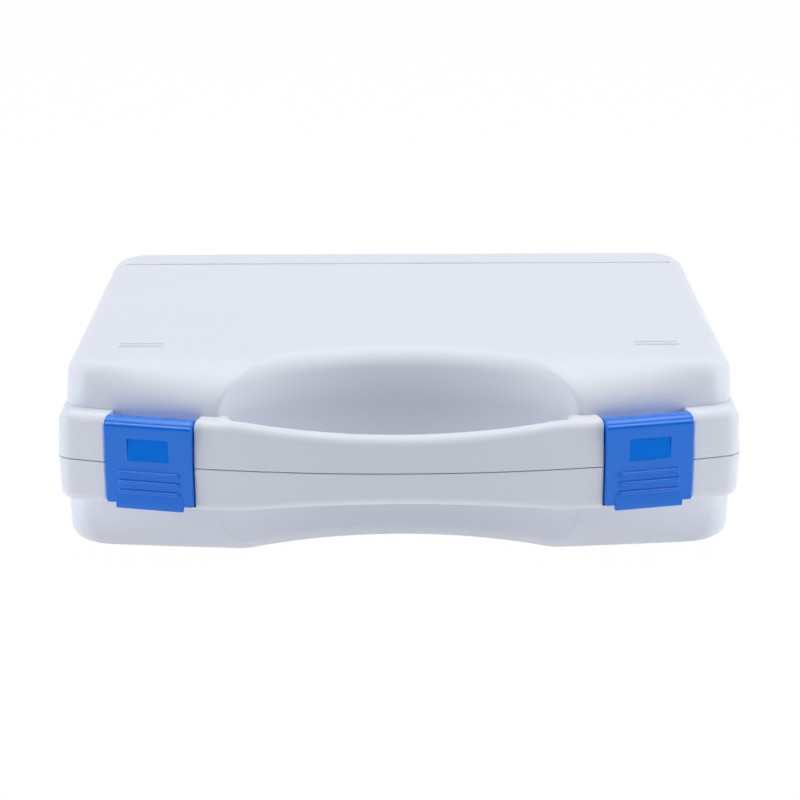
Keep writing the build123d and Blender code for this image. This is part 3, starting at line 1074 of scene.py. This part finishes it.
@dataclass(frozen=True)
class StackingMarks:
    """Two pairs of low ribs on the lid, and the hollows under the base that fit over them."""

    x: float = 129.7
    y: float = -CASE_DEPTH / 2 + 76.0
    length: float = 22.5
    width: float = 1.8
    height: float = 0.8
    pitch: float = 5.2
    hollow_play: float = 1.6
    hollow_depth: float = 1.1

    def ribs(self, hand: Hand, top: float) -> list[Mesh]:
        """The pair of ribs on one side of the lid's top."""
        centres = [Vector((hand.value * self.x, self.y + side * self.pitch / 2)) for side in (-1, 1)]
        return [soft_bar(self.length, self.width, self.height, centre, top - OVER) for centre in centres]

    def hollow(self, hand: Hand) -> Mesh:
        """The hollow for one pair, cut into the base's underside.

        Args:
            hand: The side that it is on.

        Returns:
            The closed cutter.
        """
        centre = Vector((hand.value * self.x, self.y))
        width = self.pitch + self.width + self.hollow_play
        outline = slot_outline(self.length + self.hollow_play, width, centre)
        return prism(outline, SPLIT - self.hollow_depth, SPLIT + OVER)


@dataclass(frozen=True)
class RearFoot:
    """A block on each shell's rear wall that the case can stand on, with softened edges."""

    x: float = 130.0
    half_width: float = 13.0
    sunk: float = 5.2
    low: float = 26.0
    high: float = 41.0
    soft: float = 2.2
    steps: int = 5

    def solid(self, hand: Hand) -> Mesh:
        """The foot on one side."""
        low_x, high_x = hand.value * self.x - self.half_width, hand.value * self.x + self.half_width
        return block((low_x, WALL_REAR - self.sunk, self.low), (high_x, CASE_DEPTH / 2, self.high),
                     soft=self.soft, steps=self.steps)


MARKS = StackingMarks()
REAR_FOOT = RearFoot()


@dataclass(frozen=True)
class LatchSizes:
    """Sizes of a snap latch and of the pocket it lies in, in the latch's own frame.

    The frame's origin is on the bow at the height of the split, with Y into the case. Rises and drops
    are measured from the split.
    """

    offset: float = 121.5
    width: float = 44.6
    side_gap: float = 0.4
    thickness: float = 3.0
    lean: float = 1.0
    drop: float = 19.8
    drop_gap: float = 0.6
    corner: float = 1.2
    soft: float = 0.6

    roll: float = 6.0
    roll_high: float = 5.0
    roll_flat: float = 0.9
    roll_room: float = 6.4
    roll_inset: float = 4.6
    roll_rise: float = 18.0
    roll_end: float = -70.0
    roll_steps: int = 34
    throat: float = 1.6
    throat_drop: float = 7.4
    neck_rise: float = 9.0

    pin: float = 1.55
    pin_bearing: float = 5.5
    lid_depth: float = 3.0
    lid_rise: float = 12.0
    base_depth: float = 5.0
    ledge_depth: float = 16.0
    mouth: float = 1.2

    tab_width: float = 34.5
    tab_drop: float = 22.4
    tab_top: float = 13.5
    tab_proud: float = 0.9
    tab_thinner: float = 0.3
    tab_soft: float = 0.5

    flange: float = 1.4
    flange_side_gap: float = 0.05
    flange_back_gap: float = 0.4
    flange_soft: float = 0.3

    plate_length: float = 21.0
    plate_height: float = 11.0
    plate_rise: float = 7.8
    plate_depth: float = 0.8
    plate_gap: float = 0.1
    plate_sunk: float = 0.15
    plate_bed: float = 0.03
    plate_soft: float = 0.12

    grip_length: float = 31.6
    grip_width: float = 2.6
    grip_height: float = 1.3
    grip_first: float = 4.0
    grip_pitch: float = 4.9
    grip_count: int = 3

    nose: float = 1.2
    nose_drop: float = 14.6
    nose_soft: float = 0.3
    keeper_length: float = 34.0
    keeper_drop: float = 10.8
    keeper: float = 0.9

    @property
    def half_room(self) -> float:
        """Half the width of the pocket."""
        return self.width / 2 + self.side_gap

    @property
    def lean_angle(self) -> float:
        """How much the flap's face leans back, in radians."""
        return math.atan2(self.lean, self.roll_rise + self.drop)

    def place(self, hand: Hand) -> Matrix:
        """The move from the latch's own frame to its place on the bow, with heights from the split.

        Args:
            hand: The side that the latch is on.

        Returns:
            The transform.
        """
        angle = math.asin(self.offset / BOW_RADIUS)
        spot = Vector((hand.value * self.offset, bow_y(BOW_RADIUS, self.offset), 0.0))
        return Matrix.Translation(spot) @ Matrix.Rotation(hand.value * angle, 4, "Z")

    def face(self, rise: float) -> float:
        """Depth of the latch's front face at a rise."""
        fall = (self.roll_rise - rise) / (self.roll_rise + self.drop)
        return -(self.roll - self.roll_inset - self.lean * fall)

    def about_pin(self, radius: float, reach: float, soft: float = 0.0, sides: int = 48) -> Mesh:
        """A round bar about the pin's axis, as far to the left as to the right."""
        return rod(radius, -reach, reach, self.roll_inset, self.roll_rise, soft, sides)

    def pocket(self, depth: float, low: float, high: float, draft: float, steps: int = 7) -> Mesh:
        """Room cut in the rim, whose upright edges open out in a soft curve at the rim's face.

        Args:
            depth: How deep it goes behind the face.
            low: Its lowest rise.
            high: Its highest rise.
            draft: How much the rim's face leans back, in degrees.
            steps: Points on each soft curve.

        Returns:
            The closed cutter.
        """
        wide = self.half_room + self.mouth
        face = BOW_RADIUS - math.sqrt(BOW_RADIUS**2 - wide**2)
        curve = [Vector((wide - self.mouth * math.sin(t), face + self.mouth * (1 - math.cos(t))))
                 for t in spread(0.0, QUARTER, steps)]
        right = [Vector((wide, -self.roll)), *curve, Vector((self.half_room, depth))]
        outline = right + mirrored(right)
        rings = []
        for z in (low, 0.0, high) if low < 0 < high else (low, high):
            rings.append([Vector((p.x, p.y + lean(draft, abs(z)), z)) for p in outline])
        return stack_rings(rings)


LATCH = LatchSizes()


@dataclass
class LidShell:
    """The lid: wall with scoop, rim with the handle's upper half, pockets, rebate, barrels and feet."""

    material: bpy.types.Material
    form: ShellForm = LID_FORM
    rim: Rim = LID_RIM
    rebate_thickness: float = 1.65
    rebate_rise: float = 2.85
    strip_height: float = 0.8
    strip_half_width: float = 156.0
    strip_setback: float = 32.0
    strip_soft: float = 0.36

    def strip(self, steps: int = 12) -> Mesh:
        """The raised strip along the rear of the lid's top.

        Args:
            steps: Points on each round rear corner.

        Returns:
            The closed mesh.
        """
        top = self.form.height
        rear = WALL_REAR - lean(self.form.draft, top) - self.form.edge
        half, radius = self.strip_half_width, self.form.rear_corner - self.form.edge
        centre = Vector((half - radius, rear - radius))
        right = [Vector((half, WALL_REAR - self.strip_setback)),
                 *arc_points(centre, Vector((half, centre.y)), Vector((centre.x, rear)), steps)]
        made = prism(right + mirrored(right), top - OVER, top + self.strip_height)
        soften(made, edges_above(made, top), self.strip_soft, steps=3)
        return made

    def additions(self) -> Steps:
        """Raised strip, stacking ribs and rear feet.

        Returns:
            The solids to add.
        """
        made = [self.strip()]
        for hand in Hand:
            made += [*MARKS.ribs(hand, self.form.height), REAR_FOOT.solid(hand)]
        return [(Join.ADD, mesh) for mesh in made]

    def cuts(self) -> Steps:
        """Cavity, handle hollows, rebate, latch pockets and barrel rooms.

        Returns:
            The solids to cut.
        """
        rebate = self.form.lip(WALL - self.rebate_thickness, PARTING_GAP / 2 - OVER, self.rebate_rise)
        made = [self.form.solid(WALL, -OVER), *HandleCells().solids(), rebate]
        top, draft = self.rim.rise + OVER, self.rim.draft
        for hand in Hand:
            rooms = [LATCH.pocket(LATCH.lid_depth, -OVER, LATCH.lid_rise, draft),
                     LATCH.pocket(LATCH.roll_inset, LATCH.lid_rise - OVER, top, draft),
                     LATCH.about_pin(LATCH.roll_room, LATCH.half_room),
                     LATCH.about_pin(LATCH.pin, LATCH.half_room + LATCH.pin_bearing, sides=24)]
            made += [moved(room, LATCH.place(hand)) for room in rooms]
            made += [HINGE.room(span) for span in HINGE.base_spans(hand)]
        return [(Join.CUT, mesh) for mesh in made]

    def build(self) -> bpy.types.Object:
        """Model the lid and hand it over, with the rim's ledge cut through behind each latch.

        Returns:
            The finished piece.
        """
        start = PARTING_GAP / 2
        hinges = []
        ledges = []
        for hand in Hand:
            hinges += [(Join.ADD, HINGE.knuckle(HINGE.lid_span(hand))), (Join.CUT, HINGE.hole(hand))]
            through = LATCH.pocket(LATCH.ledge_depth, LATCH.roll_rise, self.rim.rise + OVER, self.rim.draft)
            ledges.append((Join.CUT, moved(through, LATCH.place(hand))))
        rim = combine(self.rim.solid(start), ledges)
        steps = [(Join.ADD, rim), *self.additions(), *self.cuts(), *hinges]
        mesh = moved(combine(self.form.solid(0.0, start), steps), Matrix.Translation((0, 0, SPLIT)))
        return finish_piece("lid_moulding", mesh, "lid", ["lid_shell"], self.material)


@dataclass
class BaseShell:
    """The base: wall with scoop, rim with the handle's lower half, keepers, lip, barrels and feet."""

    material: bpy.types.Material
    form: ShellForm = BASE_FORM
    rim: Rim = BASE_RIM
    lip_rise: float = 2.5
    lip_thickness: float = 1.3

    def cuts(self) -> Steps:
        """Handle hollows, latch pockets with their keepers left standing, barrel rooms and hollows.

        Returns:
            The solids to cut.
        """
        made = HandleCells().solids()
        reach = LATCH.keeper_length / 2
        for hand in Hand:
            room = LATCH.pocket(LATCH.base_depth, -OVER, LATCH.drop + LATCH.drop_gap, self.rim.draft)
            bead = rod(LATCH.keeper, -reach, reach, LATCH.base_depth, LATCH.keeper_drop, sides=24)
            room = combine(room, [(Join.CUT, bead)])
            made += [moved(room, LATCH.place(hand)), HINGE.room(HINGE.lid_span(hand))]
        made += [MARKS.hollow(hand) for hand in Hand]
        return [(Join.CUT, mesh) for mesh in made]

    def build(self) -> bpy.types.Object:
        """Model the base upside down, turn it over and hand it over.

        Returns:
            The finished piece.
        """
        start = PARTING_GAP / 2
        lip = self.form.lip(WALL - self.lip_thickness, -self.lip_rise, start + OVER)
        steps = [(Join.ADD, self.rim.solid(start)), (Join.ADD, lip)]
        steps += [(Join.ADD, REAR_FOOT.solid(hand)) for hand in Hand]
        steps += [(Join.CUT, self.form.solid(WALL, -self.lip_rise - OVER)), *self.cuts()]
        for hand in Hand:
            steps += [(Join.ADD, HINGE.knuckle(span)) for span in HINGE.base_spans(hand)]
            steps.append((Join.CUT, HINGE.hole(hand)))
        mesh = combine(self.form.solid(0.0, start), steps)
        moved(mesh, Matrix.Translation((0, 0, SPLIT)) @ Matrix.Scale(-1, 4, (0, 0, 1)))
        return finish_piece("base_moulding", mesh, "base", ["base_shell"], self.material)


@dataclass
class SnapLatch:
    """A blue snap latch: roll about its pin, leaning flap, inset plate, grip ribs, tab and catch nose."""

    hand: Hand
    material: bpy.types.Material
    plate_material: bpy.types.Material

    def roll_point(self, turn: float) -> Vector:
        """Point of the roll about its pin: a circle whose top is pressed a little flat."""
        across, up = [math.copysign(abs(part) ** LATCH.roll_flat, part)
                      for part in (math.cos(turn), math.sin(turn))]
        return Vector((LATCH.roll * across, LATCH.roll_high * up))

    def flap_outline(self) -> Ring:
        """Side outline of the flap and its roll.

        Returns:
            Points that give depth and rise.
        """
        centre = Vector((LATCH.roll_inset, LATCH.roll_rise))
        turns = spread(math.pi - LATCH.lean_angle, math.radians(LATCH.roll_end), LATCH.roll_steps)
        roll = [centre + self.roll_point(turn) for turn in turns]
        throat = Vector((LATCH.face(0.0) + LATCH.thickness + LATCH.throat,
                         LATCH.roll_rise - LATCH.throat_drop))
        low = -LATCH.drop
        back = [Vector((LATCH.face(rise) + LATCH.thickness, rise)) for rise in (LATCH.neck_rise, low)]
        return [Vector((LATCH.face(low), low)), *roll, throat, *back]

    def flap(self) -> Mesh:
        """The flap with its roll and softened sides."""
        mesh = side_prism(self.flap_outline(), LATCH.width / 2)
        soften(mesh, end_edges(mesh), LATCH.soft, steps=4)
        return mesh

    def flanges(self) -> list[Mesh]:
        """Stiffening flanges behind both sides of the flap.

        Returns:
            The closed meshes.
        """
        outer, inner = LATCH.width / 2 - LATCH.flange_side_gap, LATCH.width / 2 - LATCH.flange
        low, high = OVER - LATCH.drop, LATCH.lid_rise - OVER
        front, back = LATCH.face(high) + LATCH.thickness / 2, LATCH.lid_depth - LATCH.flange_back_gap
        return [block((left, front, low), (right, back, high), soft=LATCH.flange_soft)
                for left, right in ((-outer, -inner), (inner, outer))]

    def corner_trim(self, steps: int = 9) -> Mesh:
        """Front view of the flap with round lower corners, deep enough to trim the whole flap.

        Args:
            steps: Points on each round corner.

        Returns:
            The closed mesh.
        """
        half, low, high = LATCH.width / 2 + OVER, -LATCH.drop, LATCH.roll_rise + 2 * LATCH.roll
        inner = LATCH.width / 2 - LATCH.corner
        right = [Vector((inner + LATCH.corner * math.sin(t), low + LATCH.corner * (1 - math.cos(t))))
                 for t in spread(0.0, QUARTER, steps)]
        right += [Vector((half, low + LATCH.corner)), Vector((half, high))]
        outline = right + mirrored(right)
        reach = 2 * LATCH.roll
        return stack_rings([[Vector((p.x, y, p.y)) for p in outline] for y in (-reach, 2 * reach)])

    def tab(self) -> Mesh:
        """The finger tab, which stands proud of the flap and hangs below it.

        Returns:
            The closed mesh.
        """
        front = LATCH.face(-LATCH.drop) - LATCH.tab_proud
        back = front + LATCH.thickness - LATCH.tab_thinner
        outline = [Vector((LATCH.face(-LATCH.tab_top), -LATCH.tab_top)), Vector((front, -LATCH.drop)),
                   Vector((front, -LATCH.tab_drop)), Vector((back, -LATCH.tab_drop)),
                   Vector((back, -LATCH.tab_top))]
        mesh = side_prism(outline, LATCH.tab_width / 2)
        soften(mesh, mesh.edges, LATCH.tab_soft, steps=3)
        return mesh

    def grips(self) -> list[Mesh]:
        """Three low bars across the flap.

        Returns:
            The closed meshes, from the top down.
        """
        made = []
        for index in range(LATCH.grip_count):
            rise = -LATCH.grip_first - index * LATCH.grip_pitch
            bar = soft_bar(LATCH.grip_length, LATCH.grip_width, LATCH.grip_height, Vector((0.0, 0.0)), -OVER)
            upright = Matrix.Translation((0, LATCH.face(rise), rise)) @ Matrix.Rotation(QUARTER, 4, "X")
            made.append(moved(bar, upright))
        return made

    def plate_room(self, grow: float, depth: float, proud: float) -> Mesh:
        """The flat block of the inset plate, leaning with the flap.

        Args:
            grow: How much larger it is all round.
            depth: How deep it goes behind the flap's face.
            proud: How far it stands in front of that face.

        Returns:
            The closed mesh.
        """
        half, high = LATCH.plate_length / 2 + grow, LATCH.plate_height / 2 + grow
        face, rise = LATCH.face(LATCH.plate_rise), LATCH.plate_rise
        made = block((-half, face - proud, rise - high), (half, face + depth, rise + high))
        pivot = Vector((0, face, rise))
        turn = Matrix.Rotation(-LATCH.lean_angle, 4, "X")
        return moved(made, Matrix.Translation(pivot) @ turn @ Matrix.Translation(-pivot))

    def catch_nose(self) -> Mesh:
        """The rounded nose behind the flap that snaps over the base's keeper."""
        reach = LATCH.keeper_length / 2
        return rod(LATCH.nose, -reach, reach, LATCH.face(-LATCH.nose_drop) + LATCH.thickness,
                   -LATCH.nose_drop, soft=LATCH.nose_soft, sides=24)

    def build(self) -> None:
        """Model the latch and its plate and hand both over."""
        word = self.hand.word
        place = Matrix.Translation((0, 0, SPLIT)) @ LATCH.place(self.hand)
        steps = [*[(Join.ADD, flange) for flange in self.flanges()], (Join.KEEP, self.corner_trim()),
                 (Join.ADD, self.tab()), (Join.ADD, self.catch_nose()),
                 *[(Join.ADD, grip) for grip in self.grips()],
                 (Join.CUT, self.plate_room(0.0, LATCH.plate_depth, OVER)),
                 (Join.CUT, LATCH.about_pin(LATCH.pin, LATCH.width, sides=32))]
        mesh = moved(combine(self.flap(), steps), place)
        finish_piece(f"snap_latch_{word}", mesh, f"latch_{word}", [f"latch_{word}"], self.material)
        plate = self.plate_room(-LATCH.plate_gap, LATCH.plate_depth - LATCH.plate_bed, -LATCH.plate_sunk)
        moved(plate, place)
        soften(plate, plate.edges, LATCH.plate_soft, steps=2)
        finish_piece(f"inset_plate_{word}", plate, f"latch_{word}", [f"latch_plate_{word}"],
                     self.plate_material)


@dataclass
class Pins:
    """The steel pins of the latches and the rear hinges, with softened ends."""

    material: bpy.types.Material
    radius: float = 1.5
    soft: float = 0.35
    end_gap: float = 0.3

    def build(self) -> None:
        """Model all four pins and hand them over."""
        reach = LATCH.half_room + LATCH.pin_bearing - self.end_gap
        for hand in Hand:
            mesh = LATCH.about_pin(self.radius, reach, soft=self.soft)
            moved(mesh, Matrix.Translation((0, 0, SPLIT)) @ LATCH.place(hand))
            finish_piece(f"latch_wire_{hand.word}", mesh, "lid", [f"latch_pin_{hand.word}"],
                         self.material)
            low, high = HINGE.base_spans(hand)
            mesh = rod(self.radius, low[0], high[1], HINGE_Y, SPLIT, soft=self.soft)
            finish_piece(f"hinge_wire_{hand.word}", mesh, "base", [f"hinge_pin_{hand.word}"],
                         self.material)


@dataclass
class FoamInserts:
    """Foam in both shells: a flat pad, a tray with a pocket, and a convoluted pad in the lid."""

    material: bpy.types.Material
    clearance: float = 0.3
    pad: float = 10.0
    tray_wall: float = 28.0
    tray_corner: float = 12.0
    tray_gap: float = 3.0
    lid_thickness: float = 24.0
    wave_pitch: float = 26.0
    wave_height: float = 7.0
    wave_columns: int = 150
    wave_rows: int = 130
    soft: float = 1.5
    sharp_degrees: float = 50.0

    def plan(self, form: ShellForm) -> Ring:
        """Outline of the flat inside of a shell, with the foam's clearance.

        Args:
            form: The shell's form.

        Returns:
            The closed outline.
        """
        inset = WALL + self.clearance
        side = lean(form.draft, form.height) + form.edge - WALL
        scoop = form.scoop_circle(form.height, form.flare - WALL, inset)
        half = form.half_plan(side, form.shoulder_mid, form.shoulder_side, scoop, form.ridge_high, inset)
        return whole_ring(half)

    def slab(self, outline: Ring, low: float, high: float) -> Mesh:
        """A slab of foam with a softened upper edge.

        Args:
            outline: Its plan.
            low: Its lowest height.
            high: Its highest height.

        Returns:
            The closed mesh.
        """
        mesh = prism(outline, low, high)
        soften(mesh, edges_above(mesh, (low + high) / 2), self.soft, steps=4)
        return mesh

    def tray(self, steps: int = 10) -> Mesh:
        """The tray with its large pocket.

        Args:
            steps: Points on each of the pocket's corners.

        Returns:
            The closed mesh.
        """
        low, high = WALL + self.pad + 2 * self.clearance, SPLIT - self.tray_gap
        outline = self.plan(BASE_FORM)
        corner = self.tray_corner
        x = max(p.x for p in outline) - self.tray_wall - corner
        front = -CASE_DEPTH / 2 + SCOOP_DEPTH + BASE_FORM.flare + self.tray_wall + corner
        rear = max(p.y for p in outline) - self.tray_wall - corner
        pocket = []
        for quarter, centre in enumerate(((x, front), (x, rear), (-x, rear), (-x, front))):
            turns = spread(QUARTER * (quarter - 1), QUARTER * quarter, steps)
            pocket += [Vector(centre) + corner * Vector((math.cos(a), math.sin(a))) for a in turns]
        return combine(self.slab(outline, low, high), [(Join.CUT, prism(pocket, low - OVER, high + OVER))])

    def lid_pad(self) -> Mesh:
        """The lid's pad, whose lower face rises and falls like an egg box.

        Returns:
            The closed mesh.
        """
        high = SPLIT + LID_FORM.height - WALL - self.clearance
        low = high - self.lid_thickness
        waves = bmesh.new()
        bmesh.ops.create_grid(waves, x_segments=self.wave_columns, y_segments=self.wave_rows, size=0.5)
        bmesh.ops.scale(waves, vec=(CASE_WIDTH, CASE_DEPTH, 1.0), verts=waves.verts)
        turn = 2 * math.pi / self.wave_pitch
        for vertex in waves.verts:
            wave = math.cos(turn * vertex.co.x) * math.cos(turn * vertex.co.y)
            vertex.co.z = low + self.wave_height * (0.5 + 0.5 * wave)
        grown = bmesh.ops.extrude_face_region(waves, geom=waves.faces[:])["geom"]
        for vertex in [item for item in grown if isinstance(item, bmesh.types.BMVert)]:
            vertex.co.z = high + OVER
        bmesh.ops.recalc_face_normals(waves, faces=waves.faces)
        return combine(prism(self.plan(LID_FORM), low - OVER, high), [(Join.KEEP, waves)])

    def build(self) -> None:
        """Model the three foam pieces and hand them over."""
        low = WALL + self.clearance
        floor_pad = self.slab(self.plan(BASE_FORM), low, low + self.pad)
        made = [("foam_floor_pad", floor_pad, "base", "foam_base_pad"),
                ("foam_pocket_tray", self.tray(), "base", "foam_base_tray"),
                ("foam_egg_box_pad", self.lid_pad(), "lid", "foam_lid_pad")]
        for name, mesh, body, node in made:
            piece = finish_piece(name, mesh, body, [node], self.material, self.sharp_degrees)


@dataclass(frozen=True)
class SoftBox:
    """A square lamp. One that gives sheen alone shows in glossy highlights and lights no matt colour."""

    name: str
    spot: tuple[float, float, float]
    size: float
    power: float
    colour: str = "#FFFFFF"
    sheen_only: bool = False

    def build(self, aim: Vector) -> None:
        """Set up the lamp and turn it to face a point.

        Args:
            aim: The point that it faces.
        """
        light = bpy.data.lights.new(self.name, "AREA")
        light.shape = "SQUARE"
        light.size = self.size
        light.energy = self.power
        light.color = linear(self.colour)[:3]
        lamp = bpy.data.objects.new(self.name, light)
        bpy.context.scene.collection.objects.link(lamp)
        spot = Vector(self.spot)
        turn = (aim - spot).to_track_quat("-Z", "Y").to_matrix().to_4x4()
        lamp.matrix_world = Matrix.Translation(spot) @ turn
        lamp.visible_diffuse = not self.sheen_only


@dataclass
class Studio:
    """Plain pale floor, soft light from above and from both sides, and the photograph's camera.

    Distances are in metres, angles in degrees, and the lens and the sensor in millimetres.
    """

    distance: float = 1.29215
    height: float = 0.4157
    tilt: float = 74.0
    roll: float = -0.25
    lens: float = 112.5
    sensor: float = 36.0
    shift: float = 0.0015
    floor_size: float = 12.0
    floor_colour: str = "#F4F4F5"
    floor_glow: float = 0.52
    floor_glow_seen: float = 0.99
    fill_colour: str = "#DDE8FA"
    fill_front: float = 0.02
    fill_above: float = 0.4
    aim_height: float = 0.05

    def floor(self) -> None:
        """A white floor that shows the camera almost pure white and keeps a faint shadow."""
        mesh = bmesh.new()
        bmesh.ops.create_grid(mesh, x_segments=2, y_segments=2, size=self.floor_size / 2)
        data = bpy.data.meshes.new("studio_floor")
        mesh.to_mesh(data)
        mesh.free()
        plane = bpy.data.objects.new("studio_floor", data)
        bpy.context.scene.collection.objects.link(plane)
        material, tree = empty_material("studio_paper")
        path = add_node(tree, "ShaderNodeLightPath")
        share = add_node(tree, "ShaderNodeMapRange",
                         {"Value": path.outputs["Is Camera Ray"], "To Min": self.floor_glow,
                          "To Max": self.floor_glow_seen})
        paper = add_node(tree, "ShaderNodeBsdfDiffuse", {"Color": linear(self.floor_colour)})
        glow = add_node(tree, "ShaderNodeEmission", {"Color": (1, 1, 1, 1), "Strength": 1.0})
        mixed = add_node(tree, "ShaderNodeMixShader",
                         {0: share.outputs["Result"], 1: paper.outputs["BSDF"],
                          2: glow.outputs["Emission"]})
        add_node(tree, "ShaderNodeOutputMaterial", {"Surface": mixed.outputs["Shader"]})
        data.materials.append(material)

    def world(self) -> None:
        """White to the camera alone, and for the rest a soft fill, faint in front and fuller above."""
        world = bpy.data.worlds.new("studio_world")
        world.use_nodes = True
        tree = world.node_tree
        tree.nodes.clear()
        path = add_node(tree, "ShaderNodeLightPath")
        where = add_node(tree, "ShaderNodeTexCoord")
        toward = add_node(tree, "ShaderNodeSeparateXYZ", {0: where.outputs["Generated"]})
        above = add_node(tree, "ShaderNodeMath", {0: toward.outputs["Y"], 1: toward.outputs["Z"]},
                         operation="ADD")
        strength = add_node(tree, "ShaderNodeMapRange",
                            {"Value": above.outputs[0], "From Min": -0.4, "From Max": 0.7,
                             "To Min": self.fill_front, "To Max": self.fill_above})
        fill = add_node(tree, "ShaderNodeBackground",
                        {"Color": linear(self.fill_colour), "Strength": strength.outputs["Result"]})
        white = add_node(tree, "ShaderNodeBackground", {"Color": (1, 1, 1, 1), "Strength": 1.0})
        mixed = add_node(tree, "ShaderNodeMixShader",
                         {0: path.outputs["Is Camera Ray"], 1: fill.outputs[0], 2: white.outputs[0]})
        add_node(tree, "ShaderNodeOutputWorld", {"Surface": mixed.outputs[0]})
        bpy.context.scene.world = world

    def camera(self) -> None:
        """The photograph's camera, found by fitting the object's own edges."""
        data = bpy.data.cameras.new("camera")
        data.lens = self.lens
        data.sensor_width = self.sensor
        data.shift_x = self.shift
        eye = bpy.data.objects.new("camera", data)
        bpy.context.scene.collection.objects.link(eye)
        eye.matrix_world = (Matrix.Translation((0, -self.distance, self.height))
                            @ Matrix.Rotation(math.radians(self.tilt), 4, "X")
                            @ Matrix.Rotation(math.radians(self.roll), 4, "Z"))
        bpy.context.scene.camera = eye

    def lamps(self) -> None:
        """A large box above, and on each side one for light and one in front for the latches' sheen."""
        boxes = [SoftBox("top_box", (0.05, 0.2, 1.5), size=1.4, power=19.0, colour="#FFFAF2")]
        for hand in Hand:
            side, front = (hand.value * 1.6, -0.4, 0.38), (hand.value * 0.9, -1.05, 1.2)
            boxes.append(SoftBox(f"{hand.word}_box", side, size=0.8, power=12.0))
            boxes.append(SoftBox(f"{hand.word}_front_box", front, size=0.55, power=5.5, sheen_only=True))
        for box in boxes:
            box.build(Vector((0, 0, self.aim_height)))

    def build(self) -> None:
        """Set up everything round the case."""
        bpy.context.scene.view_settings.view_transform = "Standard"
        self.camera()
        self.floor()
        self.world()
        self.lamps()


def main() -> None:
    """Build every piece in order."""
    logging.basicConfig(level=logging.INFO, format="%(message)s")
    Studio().build()
    shell = SHELL_PLASTIC.material()
    LidShell(shell).build()
    BaseShell(shell).build()
    latch, inset = LATCH_PLASTIC.material(), INSET_PLASTIC.material()
    for hand in Hand:
        SnapLatch(hand, latch, inset).build()
    Pins(PIN_STEEL.material()).build()
    FoamInserts(FOAM.material()).build()


if __name__ == "__main__":
    main()
